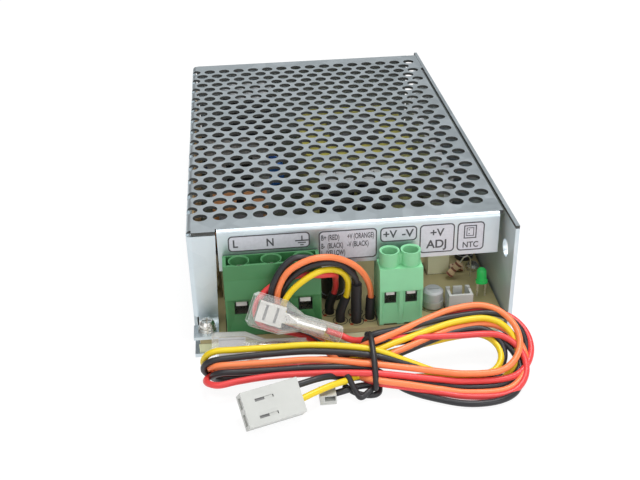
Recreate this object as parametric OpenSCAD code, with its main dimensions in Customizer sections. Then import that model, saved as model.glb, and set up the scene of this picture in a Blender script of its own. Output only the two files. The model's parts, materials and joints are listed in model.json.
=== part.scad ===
// Enclosed power supply: folded chassis, perforated cover, circuit board, screw terminals and wire harness
// Origin at the bottom centre of the case, +X to the right, +Y to the back, +Z up, millimetres

/* [Case] */
// Overall width of the case
case_w = 97; // [92:1:110]
// Overall length of the case, front to back
case_l = 159; // [152:1:180]
// Overall height of the case
case_h = 38; // [37:1:46]
// Sheet thickness of the chassis
chassis_t = 1.2; // [0.8:0.1:1.5]
// Sheet thickness of the cover
cover_t = 1; // [0.7:0.1:1.2]
// Inside radius of every sheet bend
bend_r = 0.6; // [0.3:0.1:1]
// Distance from the chassis front back to the cover's front
cover_setback = 8.6; // [8:0.1:10]
// Height of the cover's front lip
lip_h = 13.5; // [12:0.5:14.5]
// Width of the cover's screwed front leg
leg_w = 8.6; // [8:0.1:9.4]
// Height of the chassis's turned-up back flange
back_flange_h = 11; // [9:0.5:16]
// Gap between the cover's right edge and the chassis wall
edge_gap = 1; // [0.5:0.1:2]
// Width of the open slot at the back, beside the right wall
back_slot_w = 4; // [3:0.5:8]

/* [Perforation] */
// Diameter of a vent hole
vent_d = 4.4; // [3:0.1:4.8]
// Distance between neighbouring vent holes
vent_pitch = 6; // [5.6:0.1:8]
// Distance of the first and last vent rows from the cover's ends
vent_end = 9.2; // [7:0.1:14]
// Distance of the last vent column from the cover's right edge
vent_side = 3.55; // [3:0.05:8]

/* [Mounting] */
// Diameter of the hole near the front of the right wall
wall_hole_d = 5.5; // [3:0.1:6]
// Height of that hole above the bottom
wall_hole_z = 26; // [15:0.5:30]
// Distance of that hole from the front edge
wall_hole_front = 8.3; // [6:0.1:20]
// Diameter of the four tapped holes in the bottom
base_hole_d = 3; // [2.5:0.1:4]
// Distance across between the tapped holes
base_hole_across = 77; // [50:1:78]
// Distance along between the tapped holes
base_hole_along = 120; // [60:1:130]

/* [Circuit board] */
// Thickness of the circuit board
pcb_t = 1.6; // [1:0.1:2]
// Height of the standoffs under the board
standoff_h = 3.2; // [2.5:0.1:5]
// Gap between the board and the sheet metal beside it
pcb_gap = 0.8; // [0.5:0.1:1.2]
// Nominal diameter of the case screws
screw_d = 3; // [2.5:0.1:3.5]

/* [Mains terminal block] */
// Distance between poles
ac_pitch = 9.5; // [9:0.1:10]
// Number of poles
ac_poles = 3; // [2:1:3]
// Distance of the block from the left side of the case
ac_from_left = 10.15; // [9.8:0.05:14]

/* [Output terminal block] */
// Distance between poles
dc_pitch = 6.35; // [6.2:0.05:7.5]
// Number of poles
dc_poles = 2; // [2:1:2]
// Clear width between the two blocks, where the wires are soldered
block_gap = 17.55; // [16.5:0.05:20]

/* [Terminal blocks] */
// Height of the blocks' screw mouths above the board
block_h = 24; // [23:0.5:27]
// Rise of the wire clamps from open to closed
clamp_travel = 2.8; // [1:0.1:2.8]

/* [Adjuster] */
// Diameter of the output voltage adjuster's knob
knob_d = 6.2; // [5:0.1:7]

/* [Harness] */
// Outside diameter of a wire
wire_d = 1.8; // [1.2:0.1:1.9]
// Tilt of the tied hank, which leans up towards the case
hank_tilt = 30; // [28:1:31]

/* [Hidden] */
$fn = 48;
eps = 0.01;

// Case planes
half_w = case_w / 2;
front_y = -case_l / 2;
back_y = case_l / 2;
bend_out = bend_r + cover_t;
chassis_bend_out = bend_r + chassis_t;
cover_front = front_y + cover_setback;
flange_gap = 0.7;
cover_back = back_y - chassis_t - flange_gap;
cover_right = half_w - chassis_t - edge_gap;
lip_left = -half_w + leg_w + 0.4;
lip_right = cover_right - 1.3;
lip_bottom = case_h - lip_h;
wall_foot = chassis_t + 0.2;
relief = 0.5;
leg_gap = 0.3;
foot_w = leg_w - 1.1;
foot_bend_r = 1.8;
function from_left(d) = -half_w + d;
function from_right(d) = half_w - d;
function from_front(d) = front_y + d;

// Board planes
pcb_bottom = chassis_t + standoff_h;
pcb_top = pcb_bottom + pcb_t;
pcb_left = -half_w + cover_t + pcb_gap;
pcb_right = half_w - chassis_t - pcb_gap;
pcb_front = front_y + 0.5;
pcb_back = cover_back - cover_t - pcb_gap;
sheet_t = 0.3;
sheet_left = pcb_left - 0.4;
sheet_right = pcb_right - 1;
sheet_front = pcb_front + 0.1;
sheet_flap_top = pcb_bottom - 0.2;
card_t = 0.4;

// Case screws: front leg, then the board's other corners
foot_front = front_y + 0.2;
foot_screw = [from_left(4.1), from_front(4)];
board_screws = [[from_right(5), from_front(30)], [from_left(6), pcb_back - 5], [from_right(6), pcb_back - 5]];
flange_screw_x = [from_left(14), from_right(16)];
flange_screw_z = 7;
standoff_r = 2.6;
screw_r = screw_d / 2 - 0.25;
screw_clear_r = screw_d / 2 + 0.2;
screw_fit = 0.05;
seat_gap = 0.02;
head_r = screw_d * 0.77;
head_h = screw_d * 0.65;
sunk_r = screw_d * 0.9;
sunk_h = 1.1;
washer_r = head_r + 0.5;
lock_washer_r = head_r + 0.3;
lock_washer_slit = 0.5;
washer_t = 0.6;
lock_washer_t = 0.8;

// Vent grid
vent_row = vent_pitch * sqrt(3) / 2;
vent_rows = floor((cover_back - cover_front - 2 * vent_end) / vent_row) + 1;
vent_last_x = cover_right - vent_side;
vent_min_x = -half_w + 1;
side_vent_top = case_h - 4.6;
side_vent_min = pcb_top + 5;
function vent_y(j) = cover_front + vent_end + vent_row * j;
function vent_shift(j) = j % 2 == 0 ? vent_pitch / 2 : 0;
function vents_in_row(j) = floor((vent_last_x - vent_shift(j) - vent_min_x) / vent_pitch) + 1;
function side_vent_z(j) = side_vent_top - vent_pitch / 2 + vent_shift(j);
function side_vents(j) = floor((side_vent_z(j) - side_vent_min) / vent_pitch) + 1;

// Terminal block section, seen from the side
block_front = front_y + 0.9;
block_lean = 0.6;
block_nose = 0.4;
block_top = pcb_top + block_h;
block_top_front = block_front + block_lean;
block_top_back = cover_front - 0.5;
block_back = block_front + 12;
block_shelf = lip_bottom - 0.9;
ac_step = pcb_top + 13.2;
ac_slope_top = pcb_top + 19.1;
dc_step = pcb_top + 12.2;
dc_slope_top = pcb_top + 19.3;
clamp_y = (block_top_front + block_top_back) / 2;

// Clamp levels, shared by both blocks
cage_floor = pcb_top + 6;
cage_floor_t = 1;
tongue_bottom = cage_floor + 5.9;
tongue_t = 1;
cage_roof = cage_floor + 7;
cage_roof_t = 1.5;
cage_depth = 5;
cage_play = 0.25;
clamp_front = clamp_y - cage_depth / 2 - 2 * cage_play;
cage_top = cage_roof + cage_roof_t + clamp_travel;
screw_seat = max(cage_top + 1.7, pcb_top + 19);
screw_tip = tongue_bottom + tongue_t + 0.1;
thread_fit = 0.06;
leg_y = clamp_front + cage_depth + 2.2;
leg_t = 0.8;
pin_r = 0.5;
pin_fit = 0.15;
pin_tail = 1.2;

// Mains block: width, clamp sizes
ac_left = from_left(ac_from_left);
ac_w = ac_pitch * ac_poles;
ac_cage_w = 6.2;
ac_cage_wall = 0.7;
ac_tongue_w = 3.6;
ac_thread_r = 1.7;
ac_head_r = 2.35;
ac_mouth_r = 2.65;
ac_collar_r = 3.1;
ac_hole_w = 4.2;
ac_frame_wall = 0.5;
function ac_x(i) = ac_left + ac_pitch * (i - 0.5);

// Output block: width, clamp sizes
dc_end = 0.15;
dc_w = dc_pitch * dc_poles + 2 * dc_end;
dc_left = ac_left + ac_w + block_gap;
dc_cage_w = 4.8;
dc_cage_wall = 0.5;
dc_tongue_w = 2.6;
dc_thread_r = 1.45;
dc_head_r = 2;
dc_mouth_r = 2.3;
dc_collar_r = 3;
dc_hole_w = 3.6;
dc_frame_wall = 0.5;
function dc_x(i) = dc_left + dc_end + dc_pitch * (i - 0.5);

// Front board parts
trimmer_beside = 5.1;
trimmer_at = [dc_left + dc_w + trimmer_beside, from_front(9.5)];
header_beside = 7.5;
header_at = [trimmer_at[0] + header_beside, from_front(6.4)];
header_size = [7.4, 5.75, 7];
header_wall = 0.8;
led_at = [(header_at[0] + header_size[0] / 2 + half_w - chassis_t) / 2, from_front(13.2)];
led_lead_gap = 2.54;
film_at = [from_right(17), from_front(31.5)];
film_size = [7, 7, 12];
resistor_at = [from_right(14), from_front(25)];
resistor_lean = 38;
resistor_l = 5.4;

// Inner board parts
bulk_at = [from_left(21.5), pcb_back - 15];
bulk_d = 22;
bulk_h = 26;
trafo_at = [from_right(36.5), from_front(97)];
trafo_size = [40, 46, 24];
trafo_core_size = [18, 25, 25.5];
output_cap_at = [[from_right(46.5), from_front(63)], [from_right(33), from_front(62)]];
output_cap = [12.5, 21];
right_can_at = [from_right(6), from_front(38)];
right_can = [6.3, 11];
front_can_at = [from_left(44), from_front(20.5)];
front_can = [8, 11.5];
choke_at = [from_left(16.5), from_front(56)];
choke_size = [19, 24, 21];
choke_bar = 4;
choke_foot = 4;
choke_inset = 2.2;
heatsink_t = 3;
heatsink_h = 25;
primary_sink_span = [5, 28];
secondary_sink_span = [50, 124];
primary_sink_y = from_front(91);
secondary_sink_x = from_right(11);
tab_w = 10;
tab_foot = 4;
tab_body = [4.5, 13];
tab_plate = [1.3, 19];
tab_lead = 0.7;
tab_lead_gap = 1.5;
tab_lead_pitch = 2.54;
bridge_size = [18, 4, 18];
bridge_gap = 13.3;
bridge_at = [from_left(12), bulk_at[1] - bulk_d / 2 - bridge_gap - bridge_size[1]];
bridge_foot = 4;
fuse_at = [from_left(5.3), from_front(27)];
x_cap_at = [from_left(14), from_front(32)];
x_cap_size = [10, 18, 15];
disc_at = [[from_left(34.5), from_front(52)], [from_left(36.5), from_front(43)],
           [from_left(42), from_front(36)], [from_left(29.5), from_front(110)],
           [from_left(29.5), from_front(103)]];

// Harness: places are taken from the output block's left side and the case's front edge
harness_at = [dc_left, front_y, 0];
wire_r = wire_d / 2;
sleeve_r = wire_d / 2 + 0.5;
pad_z = pcb_top;
// Points that each wire follows from its board pad over the arch and down into the hank
path_orange = [[-2.3, 5.5, pad_z], [-2.3, 5.5, 9], [-2.1, 5.1, 13.9], [-2.6, 4.3, 18.1],
               [-4.4, 3.1, 23], [-7.2, 1.9, 27], [-11.1, 0.7, 30.2], [-15.2, -0.4, 32.1],
               [-20, -1.1, 32.3], [-24.5, -1.5, 30.8], [-27.6, -1.7, 28.5], [-29.7, -1.9, 24.9],
               [-30.7, -2, 21.6], [-30.7, -2.2, 18], [-29.3, -2.7, 13.4], [-22.7, -2.5, 9.3],
               [-18.7, -2.3, 6], [-14.7, -3.5, 3.8], [-11.3, -6.9, 3.6], [-9.7, -13.3, 8.6]];
path_black_1 = [[-6.3, 9.1, pad_z], [-6.3, 9.1, 9], [-6.3, 8.1, 15], [-7.3, 6.5, 22], [-9.3, 4.1, 27],
                [-13.3, 2.3, 30], [-20, 1, 31.3], [-25.2, 0.3, 32.1], [-28.8, -0.5, 29.6],
                [-31.5, -1.6, 25.6], [-32.5, -1.8, 22], [-32.7, -2, 17.6], [-31.1, -1.7, 10.8],
                [-22.7, -1.2, 7.5], [-18.7, -0.9, 4.2], [-14.7, -1.5, 2.5], [-10.3, -4.7, 2.6],
                [-8.3, -9.1, 4.8], [-7.7, -12.9, 8.2]];
path_black_2 = [[-6.7, 4.1, pad_z], [-6.7, 4.1, 12], [-6.7, 3.4, 20], [-7.3, 2.8, 22.8],
                [-8.9, 1.9, 25.4], [-12.1, 0.6, 28.4], [-15.6, -0.5, 29.8], [-20.1, -1.1, 29.2],
                [-24, -1.5, 27.3], [-27.1, -1.8, 24.3], [-28.7, -1.8, 21.5], [-28.9, -1.8, 18.8],
                [-27.5, -2.1, 15.2], [-22.7, -2.4, 11.6], [-18.7, -2.6, 8.2], [-15.1, -4.8, 5.5],
                [-12.7, -8.5, 5.2], [-11.7, -13.3, 8.8]];
path_yellow = [[-11.5, 5.1, pad_z], [-11.5, 5.1, 9], [-9.7, 4.9, 14.7], [-9.2, 4.2, 18.2],
               [-9.4, 3.4, 21.4], [-10.9, 2.3, 24.4], [-14.6, 0.5, 26.8], [-18.6, -0.7, 26.8],
               [-23.2, -2.2, 24.8], [-25.9, -3, 22.1], [-27.3, -3.2, 20], [-26.7, -3.2, 17],
               [-22.7, -3, 14.3], [-19.1, -3.7, 10.4], [-16.3, -6.5, 7], [-14.7, -9.5, 6.6],
               [-13.7, -13.5, 9.2]];
path_red = [[-14.3, 9.9, pad_z], [-14.3, 9.9, 9], [-12.9, 9.5, 13.4], [-12.5, 8.5, 16.6],
            [-13.7, 6.5, 20], [-14.9, 3.5, 22.4], [-16.2, 0.5, 23.3], [-19.7, 0.3, 24.3],
            [-23.7, 0.3, 25], [-29.7, 0.3, 25], [-32.9, 0, 23.5], [-34.9, -0.7, 20.6],
            [-35.6, -1.3, 16], [-34.3, -1.3, 10.4], [-29.3, -1, 8], [-22.7, -1, 5.2], [-18.7, -1.4, 2],
            [-14.7, -3.1, 1], [-9.7, -6.7, 1], [-6.3, -9.3, 3], [-5.6, -12.1, 8.2]];
// Tails that leave the hank for the two spades, the plug and the small tail plug
tail_red = [[-8.2, -11.9, 9.8], [-9.9, -9.6, 8.8], [-12.9, -7.5, 9.4], [-17, -7.25, 11.35]];
tail_orange = [[-17.7, -11.7, 9.4], [-18.3, -9.3, 6.9], [-20.1, -6.5, 5.2], [-23.1, -5.2, 4.75],
               [-26.7, -5.1, 4.95]];
tail_yellow = [[-9.7, -18.1, 5.4], [-13.3, -23.5, 4.8], [-18.7, -25.7, 5.4], [-23.1, -28.4, 4.6],
               [-26.6, -30.15, 4.2], [-29.4, -31.1, 4.2]];
tail_black_1 = [[-13.3, -20.5, 3.6], [-17.5, -22.7, 6.4], [-21.7, -24.7, 7.4], [-25.1, -25.9, 7.4],
                [-27.7, -26.8, 7.35], [-30.55, -27.8, 7.35]];
tail_black_2 = [[-6.7, -18.5, 4.8], [-9.7, -21.9, 3.4], [-13.3, -24.1, 2.2], [-17.3, -24.9, 1.8]];
sleeve_points = 3;

// Hank: outline along X and up the slope, from the line where its lower face meets the floor
hank_foot = [-7.7, -24.3, 0.8];
hank_t = 5.4;
hank_left = [-42, 10];
hank_left_r = 4.6;
hank_waist = [4, 9.4];
hank_waist_r = 7.9;
hank_loop = [38.6, 12.8];
hank_loop_r = 12.6;
tie_r = 1;
tie_gap = 0.1;

// Spade receptacles: blade size, clear sleeve, places and turns
spade_inset = 2;
spade_w = 6.2;
spade_l = 8;
spade_end = spade_inset + spade_l;
spade_wall = 0.5;
spade_curl = 0.7;
spade_slot_w = 1.2;
spade_t = 1.7;
barrel_r = 1.7;
barrel_l = 9;
sleeve_w = 10;
sleeve_flat_l = 11;
sleeve_t = 3.6;
sleeve_neck_r = 2.6;
sleeve_l = 28;
sleeve_wall = 0.5;
spade_1_at = [-38.7, -7.25, 21.2];
spade_1_turn = [65, 24.5, 0];
spade_2_at = [-50.9, -5.1, 6.2];
spade_2_turn = [25, 3, 0];

// White plug: size, place and turn
plug_size = [16.5, 9.8, 5.5];
plug_at = [-42.1, -35.8, 0.05];
plug_turn = [42, 0, 18.3];
plug_pitch = 4.7;
plug_slot = [5.4, 1.8];
tail_plug_size = [4.6, 4.4, 3.2];
tail_plug_at = [-21.1, -27.3, 0.1];

// A plate between two corners
module span(a, b) {
    translate(a) cube(b - a);
}

// A quarter ring of sheet, standing along its own Z axis, in the quadrant of +X and +Y
module sheet_bend(length, t, r = bend_r) {
    linear_extrude(length) {
        intersection() {
            difference() {
                circle(r + t);
                circle(r);
            }
            square(r + t);
        }
    }
}

// A screw with a low domed head and a crossed recess, pointing down, underside of the head at the origin
module cross_screw(r, length, head_r, head_h) {
    difference() {
        union() {
            translate([0, 0, -length]) cylinder(r = r, h = length + eps);
            cylinder(r = head_r, h = head_h * 0.6);
            translate([0, 0, head_h * 0.6 - eps]) cylinder(r1 = head_r, r2 = head_r * 0.72, h = head_h * 0.4);
        }
        for (a = [0, 90]) {
            rotate(a) translate([-head_r * 0.55, -head_r * 0.11, head_h * 0.45])
                cube([head_r * 1.1, head_r * 0.22, head_h]);
        }
    }
}

// A countersunk screw with a crossed recess, pointing down, flat top of the head at the origin
module sunk_screw(r, length) {
    difference() {
        union() {
            translate([0, 0, -length]) cylinder(r = r, h = length - sunk_h + eps);
            translate([0, 0, -sunk_h]) cylinder(r1 = r, r2 = sunk_r, h = sunk_h);
        }
        for (a = [0, 90]) {
            rotate(a) translate([-sunk_r * 0.6, -sunk_r * 0.12, -sunk_h * 0.7])
                cube([sunk_r * 1.2, sunk_r * 0.24, sunk_h]);
        }
    }
}

// A tube of eight sides swept along the points of a route
function unit(v) = v / norm(v);
function heading(p, i) = unit(p[min(i + 1, len(p) - 1)] - p[max(i - 1, 0)]);
function side_of(d) = unit(cross(d, abs(d[2]) > 0.9 ? [0, 1, 0] : [0, 0, 1]));
function carried(s, d) = unit(s - d * (s * d));
function sides(p, i) = i == 0 ? side_of(heading(p, 0)) : carried(sides(p, i - 1), heading(p, i));
function spoke(d, s, a) = cos(a) * s + sin(a) * cross(d, s);
function ring(c, d, s, r, n) = [for (k = [0:n - 1]) c + r * spoke(d, s, 360 * k / n)];
module swept(p, r, n = 8) {
    last = len(p) - 1;
    points = [for (i = [0:last]) each ring(p[i], heading(p, i), sides(p, i), r, n)];
    walls = [for (i = [0:last - 1]) for (k = [0:n - 1])
        each [[i * n + k, i * n + (k + 1) % n, (i + 1) * n + k],
              [i * n + (k + 1) % n, (i + 1) * n + (k + 1) % n, (i + 1) * n + k]]];
    first_cap = [for (k = [0:n - 1]) n - 1 - k];
    last_cap = [for (k = [0:n - 1]) last * n + k];
    polyhedron(points, [for (w = walls) [w[2], w[1], w[0]], [for (k = [n - 1:-1:0]) first_cap[k]],
                        [for (k = [n - 1:-1:0]) last_cap[k]]]);
}
function part_of(p, a, b) = [for (i = [a:b]) p[i]];

// Chassis: bottom, right wall and low back flange folded from one sheet
module chassis() {
    color("silver") difference() {
        union() {
            span([-half_w, front_y, 0], [half_w - chassis_bend_out, back_y - chassis_bend_out, chassis_t]);
            span([half_w - chassis_t, front_y, chassis_bend_out], [half_w, back_y, case_h]);
            translate([half_w - chassis_bend_out, front_y, chassis_bend_out]) rotate([-90, 0, 0])
                sheet_bend(case_l, chassis_t);
            span([-half_w + 2, back_y - chassis_t, chassis_bend_out],
                 [half_w - chassis_bend_out - back_slot_w, back_y, back_flange_h]);
            translate([-half_w + 2, back_y - chassis_bend_out, chassis_bend_out]) rotate([0, 90, 0])
                sheet_bend(case_w - 2 - chassis_bend_out - back_slot_w, chassis_t);
            span([half_w - chassis_bend_out - eps, back_y - chassis_bend_out - 2, 0],
                 [half_w - chassis_bend_out, back_y - chassis_bend_out, chassis_t]);
        }
        for (x = [-1, 1]) for (y = [-1, 1]) {
            translate([x * base_hole_across / 2, y * base_hole_along / 2, -1])
                cylinder(d = base_hole_d, h = 5);
        }
        translate([half_w - 5, from_front(wall_hole_front), wall_hole_z]) rotate([0, 90, 0])
            cylinder(d = wall_hole_d, h = 10);
        for (x = flange_screw_x) {
            translate([x, back_y, flange_screw_z]) rotate([-90, 0, 0]) {
                translate([0, 0, -5]) cylinder(r = screw_clear_r, h = 6);
                translate([0, 0, -sunk_h]) cylinder(r1 = screw_clear_r, r2 = sunk_r + screw_fit, h = sunk_h);
            }
        }
    }
}

// Vent holes of the cover's top, as a flat pattern
module top_vents() {
    for (j = [0:vent_rows - 1]) for (i = [0:vents_in_row(j) - 1]) {
        translate([vent_last_x - vent_shift(j) - vent_pitch * i, vent_y(j)]) circle(d = vent_d);
    }
}

// Vent holes of the cover's left wall, as a flat pattern of length and height
module side_vent_pattern() {
    for (j = [0:vent_rows - 1]) for (i = [0:side_vents(j) - 1]) {
        translate([vent_y(j), side_vent_z(j) - vent_pitch * i]) circle(d = vent_d);
    }
}

// Cover: perforated top and left wall, back, front lip and the leg whose foot is screwed to the board
module cover() {
    color("lightsteelblue") {
        // Top
        translate([0, 0, case_h - cover_t]) linear_extrude(cover_t) difference() {
            union() {
                translate([-half_w + bend_out, cover_front + bend_out])
                    square([cover_right + half_w - bend_out, cover_back - cover_front - 2 * bend_out]);
                translate([-half_w + bend_out, cover_front])
                    square([leg_w - bend_out, bend_out + eps]);
                translate([cover_right - eps, cover_back - 18])
                    square([edge_gap - 0.1, 18 - bend_out]);
            }
            top_vents();
        }
        // Left wall
        translate([-half_w, 0, 0]) rotate([90, 0, 90]) linear_extrude(cover_t) difference() {
            translate([cover_front + bend_out, wall_foot])
                square([cover_back - cover_front - bend_out - relief, case_h - bend_out - wall_foot]);
            side_vent_pattern();
        }
        // Bend from the top to the left wall, cut by the vents that run into it
        difference() {
            translate([-half_w + bend_out, cover_back - bend_out, case_h - bend_out]) rotate([90, 0, 0])
                mirror([1, 0, 0])
                    sheet_bend(cover_back - cover_front - 2 * bend_out, cover_t);
            translate([0, 0, case_h - bend_out - eps]) linear_extrude(bend_out + 1) top_vents();
        }
        // Front lip and its bend
        span([lip_left, cover_front, lip_bottom], [lip_right, cover_front + cover_t, case_h - bend_out]);
        translate([lip_left, cover_front + bend_out, case_h - bend_out]) rotate([90, 0, 90]) mirror([1, 0, 0])
            sheet_bend(lip_right - lip_left, cover_t);
        // Back wall and its bend
        difference() {
            span([-half_w + cover_t + relief, cover_back - cover_t, wall_foot],
                 [half_w - chassis_t - back_slot_w, cover_back, case_h - bend_out]);
            for (x = flange_screw_x) {
                translate([x, cover_back - 5, flange_screw_z]) rotate([-90, 0, 0])
                    cylinder(r = screw_r + screw_fit, h = 10);
            }
        }
        translate([-half_w + bend_out + relief, cover_back - bend_out, case_h - bend_out]) rotate([90, 0, 90])
            sheet_bend(half_w - chassis_t - back_slot_w + half_w - bend_out - relief, cover_t);
        front_leg();
    }
}

// Leg turned in from the left wall, with its foot turned out onto the board
module front_leg() {
    leg_top = case_h - cover_t - leg_gap;
    heel = pcb_top + cover_t + foot_bend_r;
    foot_right = -half_w + foot_w;
    translate([0, cover_front + cover_t, 0]) rotate([90, 0, 0]) linear_extrude(cover_t)
        polygon([[-half_w + bend_out, heel], [foot_right, heel], [-half_w + leg_w, leg_top],
                 [-half_w + bend_out, leg_top]]);
    translate([-half_w + bend_out, cover_front + bend_out, heel]) rotate(180)
        sheet_bend(leg_top - heel, cover_t);
    translate([-half_w + bend_out, cover_front - foot_bend_r, heel]) rotate([90, 0, 90]) mirror([0, 1, 0])
        sheet_bend(foot_w - bend_out, cover_t, foot_bend_r);
    difference() {
        span([-half_w, foot_front, pcb_top], [foot_right, cover_front - foot_bend_r, pcb_top + cover_t]);
        translate([foot_screw[0], foot_screw[1], pcb_top - 1]) cylinder(r = screw_clear_r, h = 4);
    }
}

// Screws of the front leg, the board and the back flange
module case_screws() {
    stack = cover_t + washer_t + lock_washer_t;
    grip = pcb_t + standoff_h - 0.6;
    color("gainsboro") {
        translate([foot_screw[0], foot_screw[1], pcb_top + stack])
            cross_screw(screw_r, stack + grip, head_r, head_h);
        for (p = board_screws) {
            translate([p[0], p[1], pcb_top + seat_gap]) cross_screw(screw_r, grip, head_r, head_h);
        }
        for (x = flange_screw_x) {
            translate([x, back_y, flange_screw_z]) rotate([-90, 0, 0])
                sunk_screw(screw_r, back_y - cover_back + cover_t + 0.6);
        }
    }
}

// Flat washer and split lock washer under the head of the front leg's screw
module screw_washers() {
    color("silver") translate([foot_screw[0], foot_screw[1], pcb_top + cover_t]) {
        difference() {
            cylinder(r = washer_r, h = washer_t);
            translate([0, 0, -1]) cylinder(r = screw_clear_r, h = 3);
        }
        translate([0, 0, washer_t]) difference() {
            cylinder(r = lock_washer_r, h = lock_washer_t);
            translate([0, 0, -1]) cylinder(r = screw_clear_r, h = 3);
            translate([0, -lock_washer_slit / 2, -1]) cube([lock_washer_r, lock_washer_slit, 3]);
        }
    }
}

// Circuit board with its screw holes and the holes for the terminals' pins
module pcb() {
    color("tan") difference() {
        span([pcb_left, pcb_front, pcb_bottom], [pcb_right, pcb_back, pcb_top]);
        for (p = concat([foot_screw], board_screws)) {
            translate([p[0], p[1], pcb_bottom - 1]) cylinder(r = screw_clear_r, h = pcb_t + 2);
        }
        for (i = [1:ac_poles]) {
            translate([ac_x(i), leg_y, pcb_bottom - 1]) cylinder(r = pin_r + pin_fit, h = pcb_t + 2);
        }
        for (i = [1:dc_poles]) {
            translate([dc_x(i), leg_y, pcb_bottom - 1]) cylinder(r = pin_r + pin_fit, h = pcb_t + 2);
        }
    }
}

// Round threaded standoffs pressed into the bottom
module standoffs() {
    color("silver") for (p = concat([foot_screw], board_screws)) {
        translate([p[0], p[1], chassis_t]) difference() {
            cylinder(r = standoff_r, h = standoff_h);
            translate([0, 0, -1]) cylinder(r = screw_r + screw_fit, h = standoff_h + 2);
        }
    }
}

// Insulating sheet on the bottom, cut out round the standoffs and tapped holes, its front edge turned up
module insulation_sheet() {
    color("palegoldenrod") difference() {
        union() {
            span([sheet_left, sheet_front, chassis_t], [sheet_right, pcb_back, chassis_t + sheet_t]);
            span([sheet_left, sheet_front, chassis_t], [sheet_right, sheet_front + sheet_t, sheet_flap_top]);
        }
        for (p = concat([foot_screw], board_screws)) {
            translate([p[0], p[1], 0]) cylinder(r = standoff_r + 0.5, h = 5);
        }
        for (x = [-1, 1]) for (y = [-1, 1]) {
            translate([x * base_hole_across / 2, y * base_hole_along / 2, 0])
                cylinder(d = base_hole_d + 2, h = 5);
        }
    }
}

// Fibre card between the left wall and the board's parts
module side_insulator() {
    color("peru") span([-half_w + cover_t + 0.2, cover_front + 4, chassis_t + 2 * sheet_t],
                       [-half_w + cover_t + 0.2 + card_t, cover_back - 10, case_h - 6]);
}

// Side section of a terminal block, drawn as length and height
module block_section(step, slope_top, top) {
    polygon([[block_front, pcb_top], [block_front, step], [block_front - block_nose, step],
             [block_top_front, slope_top], [block_top_front, top], [block_top_back, top],
             [block_top_back, block_shelf], [block_back, block_shelf], [block_back, pcb_top]]);
}

// What one pole takes out of a block: wire funnel and hole, clamp room, screw mouth and leg slot
module pole_room(pitch, frame_wall, hole_w, cage_w, mouth_r, thread_r, tongue_w, frame_top) {
    frame_w = pitch - 2 * frame_wall;
    hole_bottom = cage_floor + cage_floor_t + 0.2;
    hole_top = tongue_bottom + tongue_t - 1.4;
    hull() {
        span([-frame_w / 2, block_front - eps, pcb_top + 0.9], [frame_w / 2, block_front, frame_top]);
        span([-hole_w / 2, clamp_front, hole_bottom], [hole_w / 2, clamp_front + eps, hole_top]);
    }
    span([-hole_w / 2, clamp_front, hole_bottom], [hole_w / 2, clamp_front + 1, hole_top]);
    room = cage_w / 2 + cage_play;
    span([-room, clamp_front + cage_play, cage_floor - cage_play],
         [room, leg_y + leg_t / 2 + 0.15, cage_top + 0.4]);
    slot = tongue_w / 2 + 0.2;
    span([-slot, leg_y - leg_t / 2 - 0.15, pcb_top - 1], [slot, leg_y + leg_t / 2 + 0.15, cage_floor]);
    translate([0, clamp_y, screw_seat]) cylinder(r = mouth_r, h = block_top - screw_seat + 1);
    translate([0, clamp_y, block_top - 0.3]) cylinder(r1 = mouth_r, r2 = mouth_r + 0.4, h = 0.4);
    translate([0, clamp_y, cage_top]) cylinder(r = thread_r + 0.3, h = screw_seat - cage_top + 1);
}

// Mains block: one moulding, screw mouths standing in an open trough
module ac_housing() {
    trough = 3;
    color("seagreen") difference() {
        union() {
            difference() {
                translate([ac_left, 0, 0]) rotate([90, 0, 90]) linear_extrude(ac_w)
                    block_section(ac_step, ac_slope_top, block_top);
                span([ac_left + 1, block_top_front + 0.9, block_top - trough],
                     [ac_left + ac_w - 1, block_top_back - 0.6, block_top + 1]);
            }
            for (i = [1:ac_poles]) {
                translate([ac_x(i), clamp_y, block_top - trough - eps])
                    cylinder(r = ac_collar_r, h = trough + eps);
            }
        }
        for (i = [1:ac_poles]) {
            translate([ac_x(i), 0, 0])
                pole_room(ac_pitch, ac_frame_wall, ac_hole_w, ac_cage_w, ac_mouth_r, ac_thread_r, ac_tongue_w,
                          ac_step - 0.6);
        }
    }
}

// Output block: one moulding, screw mouths standing as two collars
module dc_housing() {
    foot_gap = 0.5;
    color("mediumseagreen") difference() {
        union() {
            translate([dc_left, 0, 0]) rotate([90, 0, 90]) linear_extrude(dc_w)
                block_section(dc_step, dc_slope_top, dc_slope_top);
            for (i = [1:dc_poles]) {
                translate([dc_x(i), clamp_y, dc_slope_top - eps])
                    cylinder(r = dc_collar_r, h = block_top - dc_slope_top + eps);
            }
            span([dc_x(1), clamp_y - 1, dc_slope_top - eps], [dc_x(dc_poles), clamp_y + 1, block_top - 1]);
        }
        for (i = [1:dc_poles]) {
            translate([dc_x(i), 0, 0])
                pole_room(dc_pitch, dc_frame_wall, dc_hole_w, dc_cage_w, dc_mouth_r, dc_thread_r, dc_tongue_w,
                          dc_step - 0.5);
            span([dc_x(i) - 2.1, block_front - 1, pcb_top - 1],
                 [dc_x(i) + 2.1, block_front + 3, pcb_top + foot_gap]);
        }
    }
}

// A terminal screw: turns in place above the fixed tongue and lifts its cage
module clamp_screw(x, thread_r, screw_head_r) {
    seat = screw_seat + 0.2;
    color("silver") translate([x, clamp_y, seat])
        cross_screw(thread_r, seat - screw_tip, screw_head_r, 2.4);
}

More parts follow.
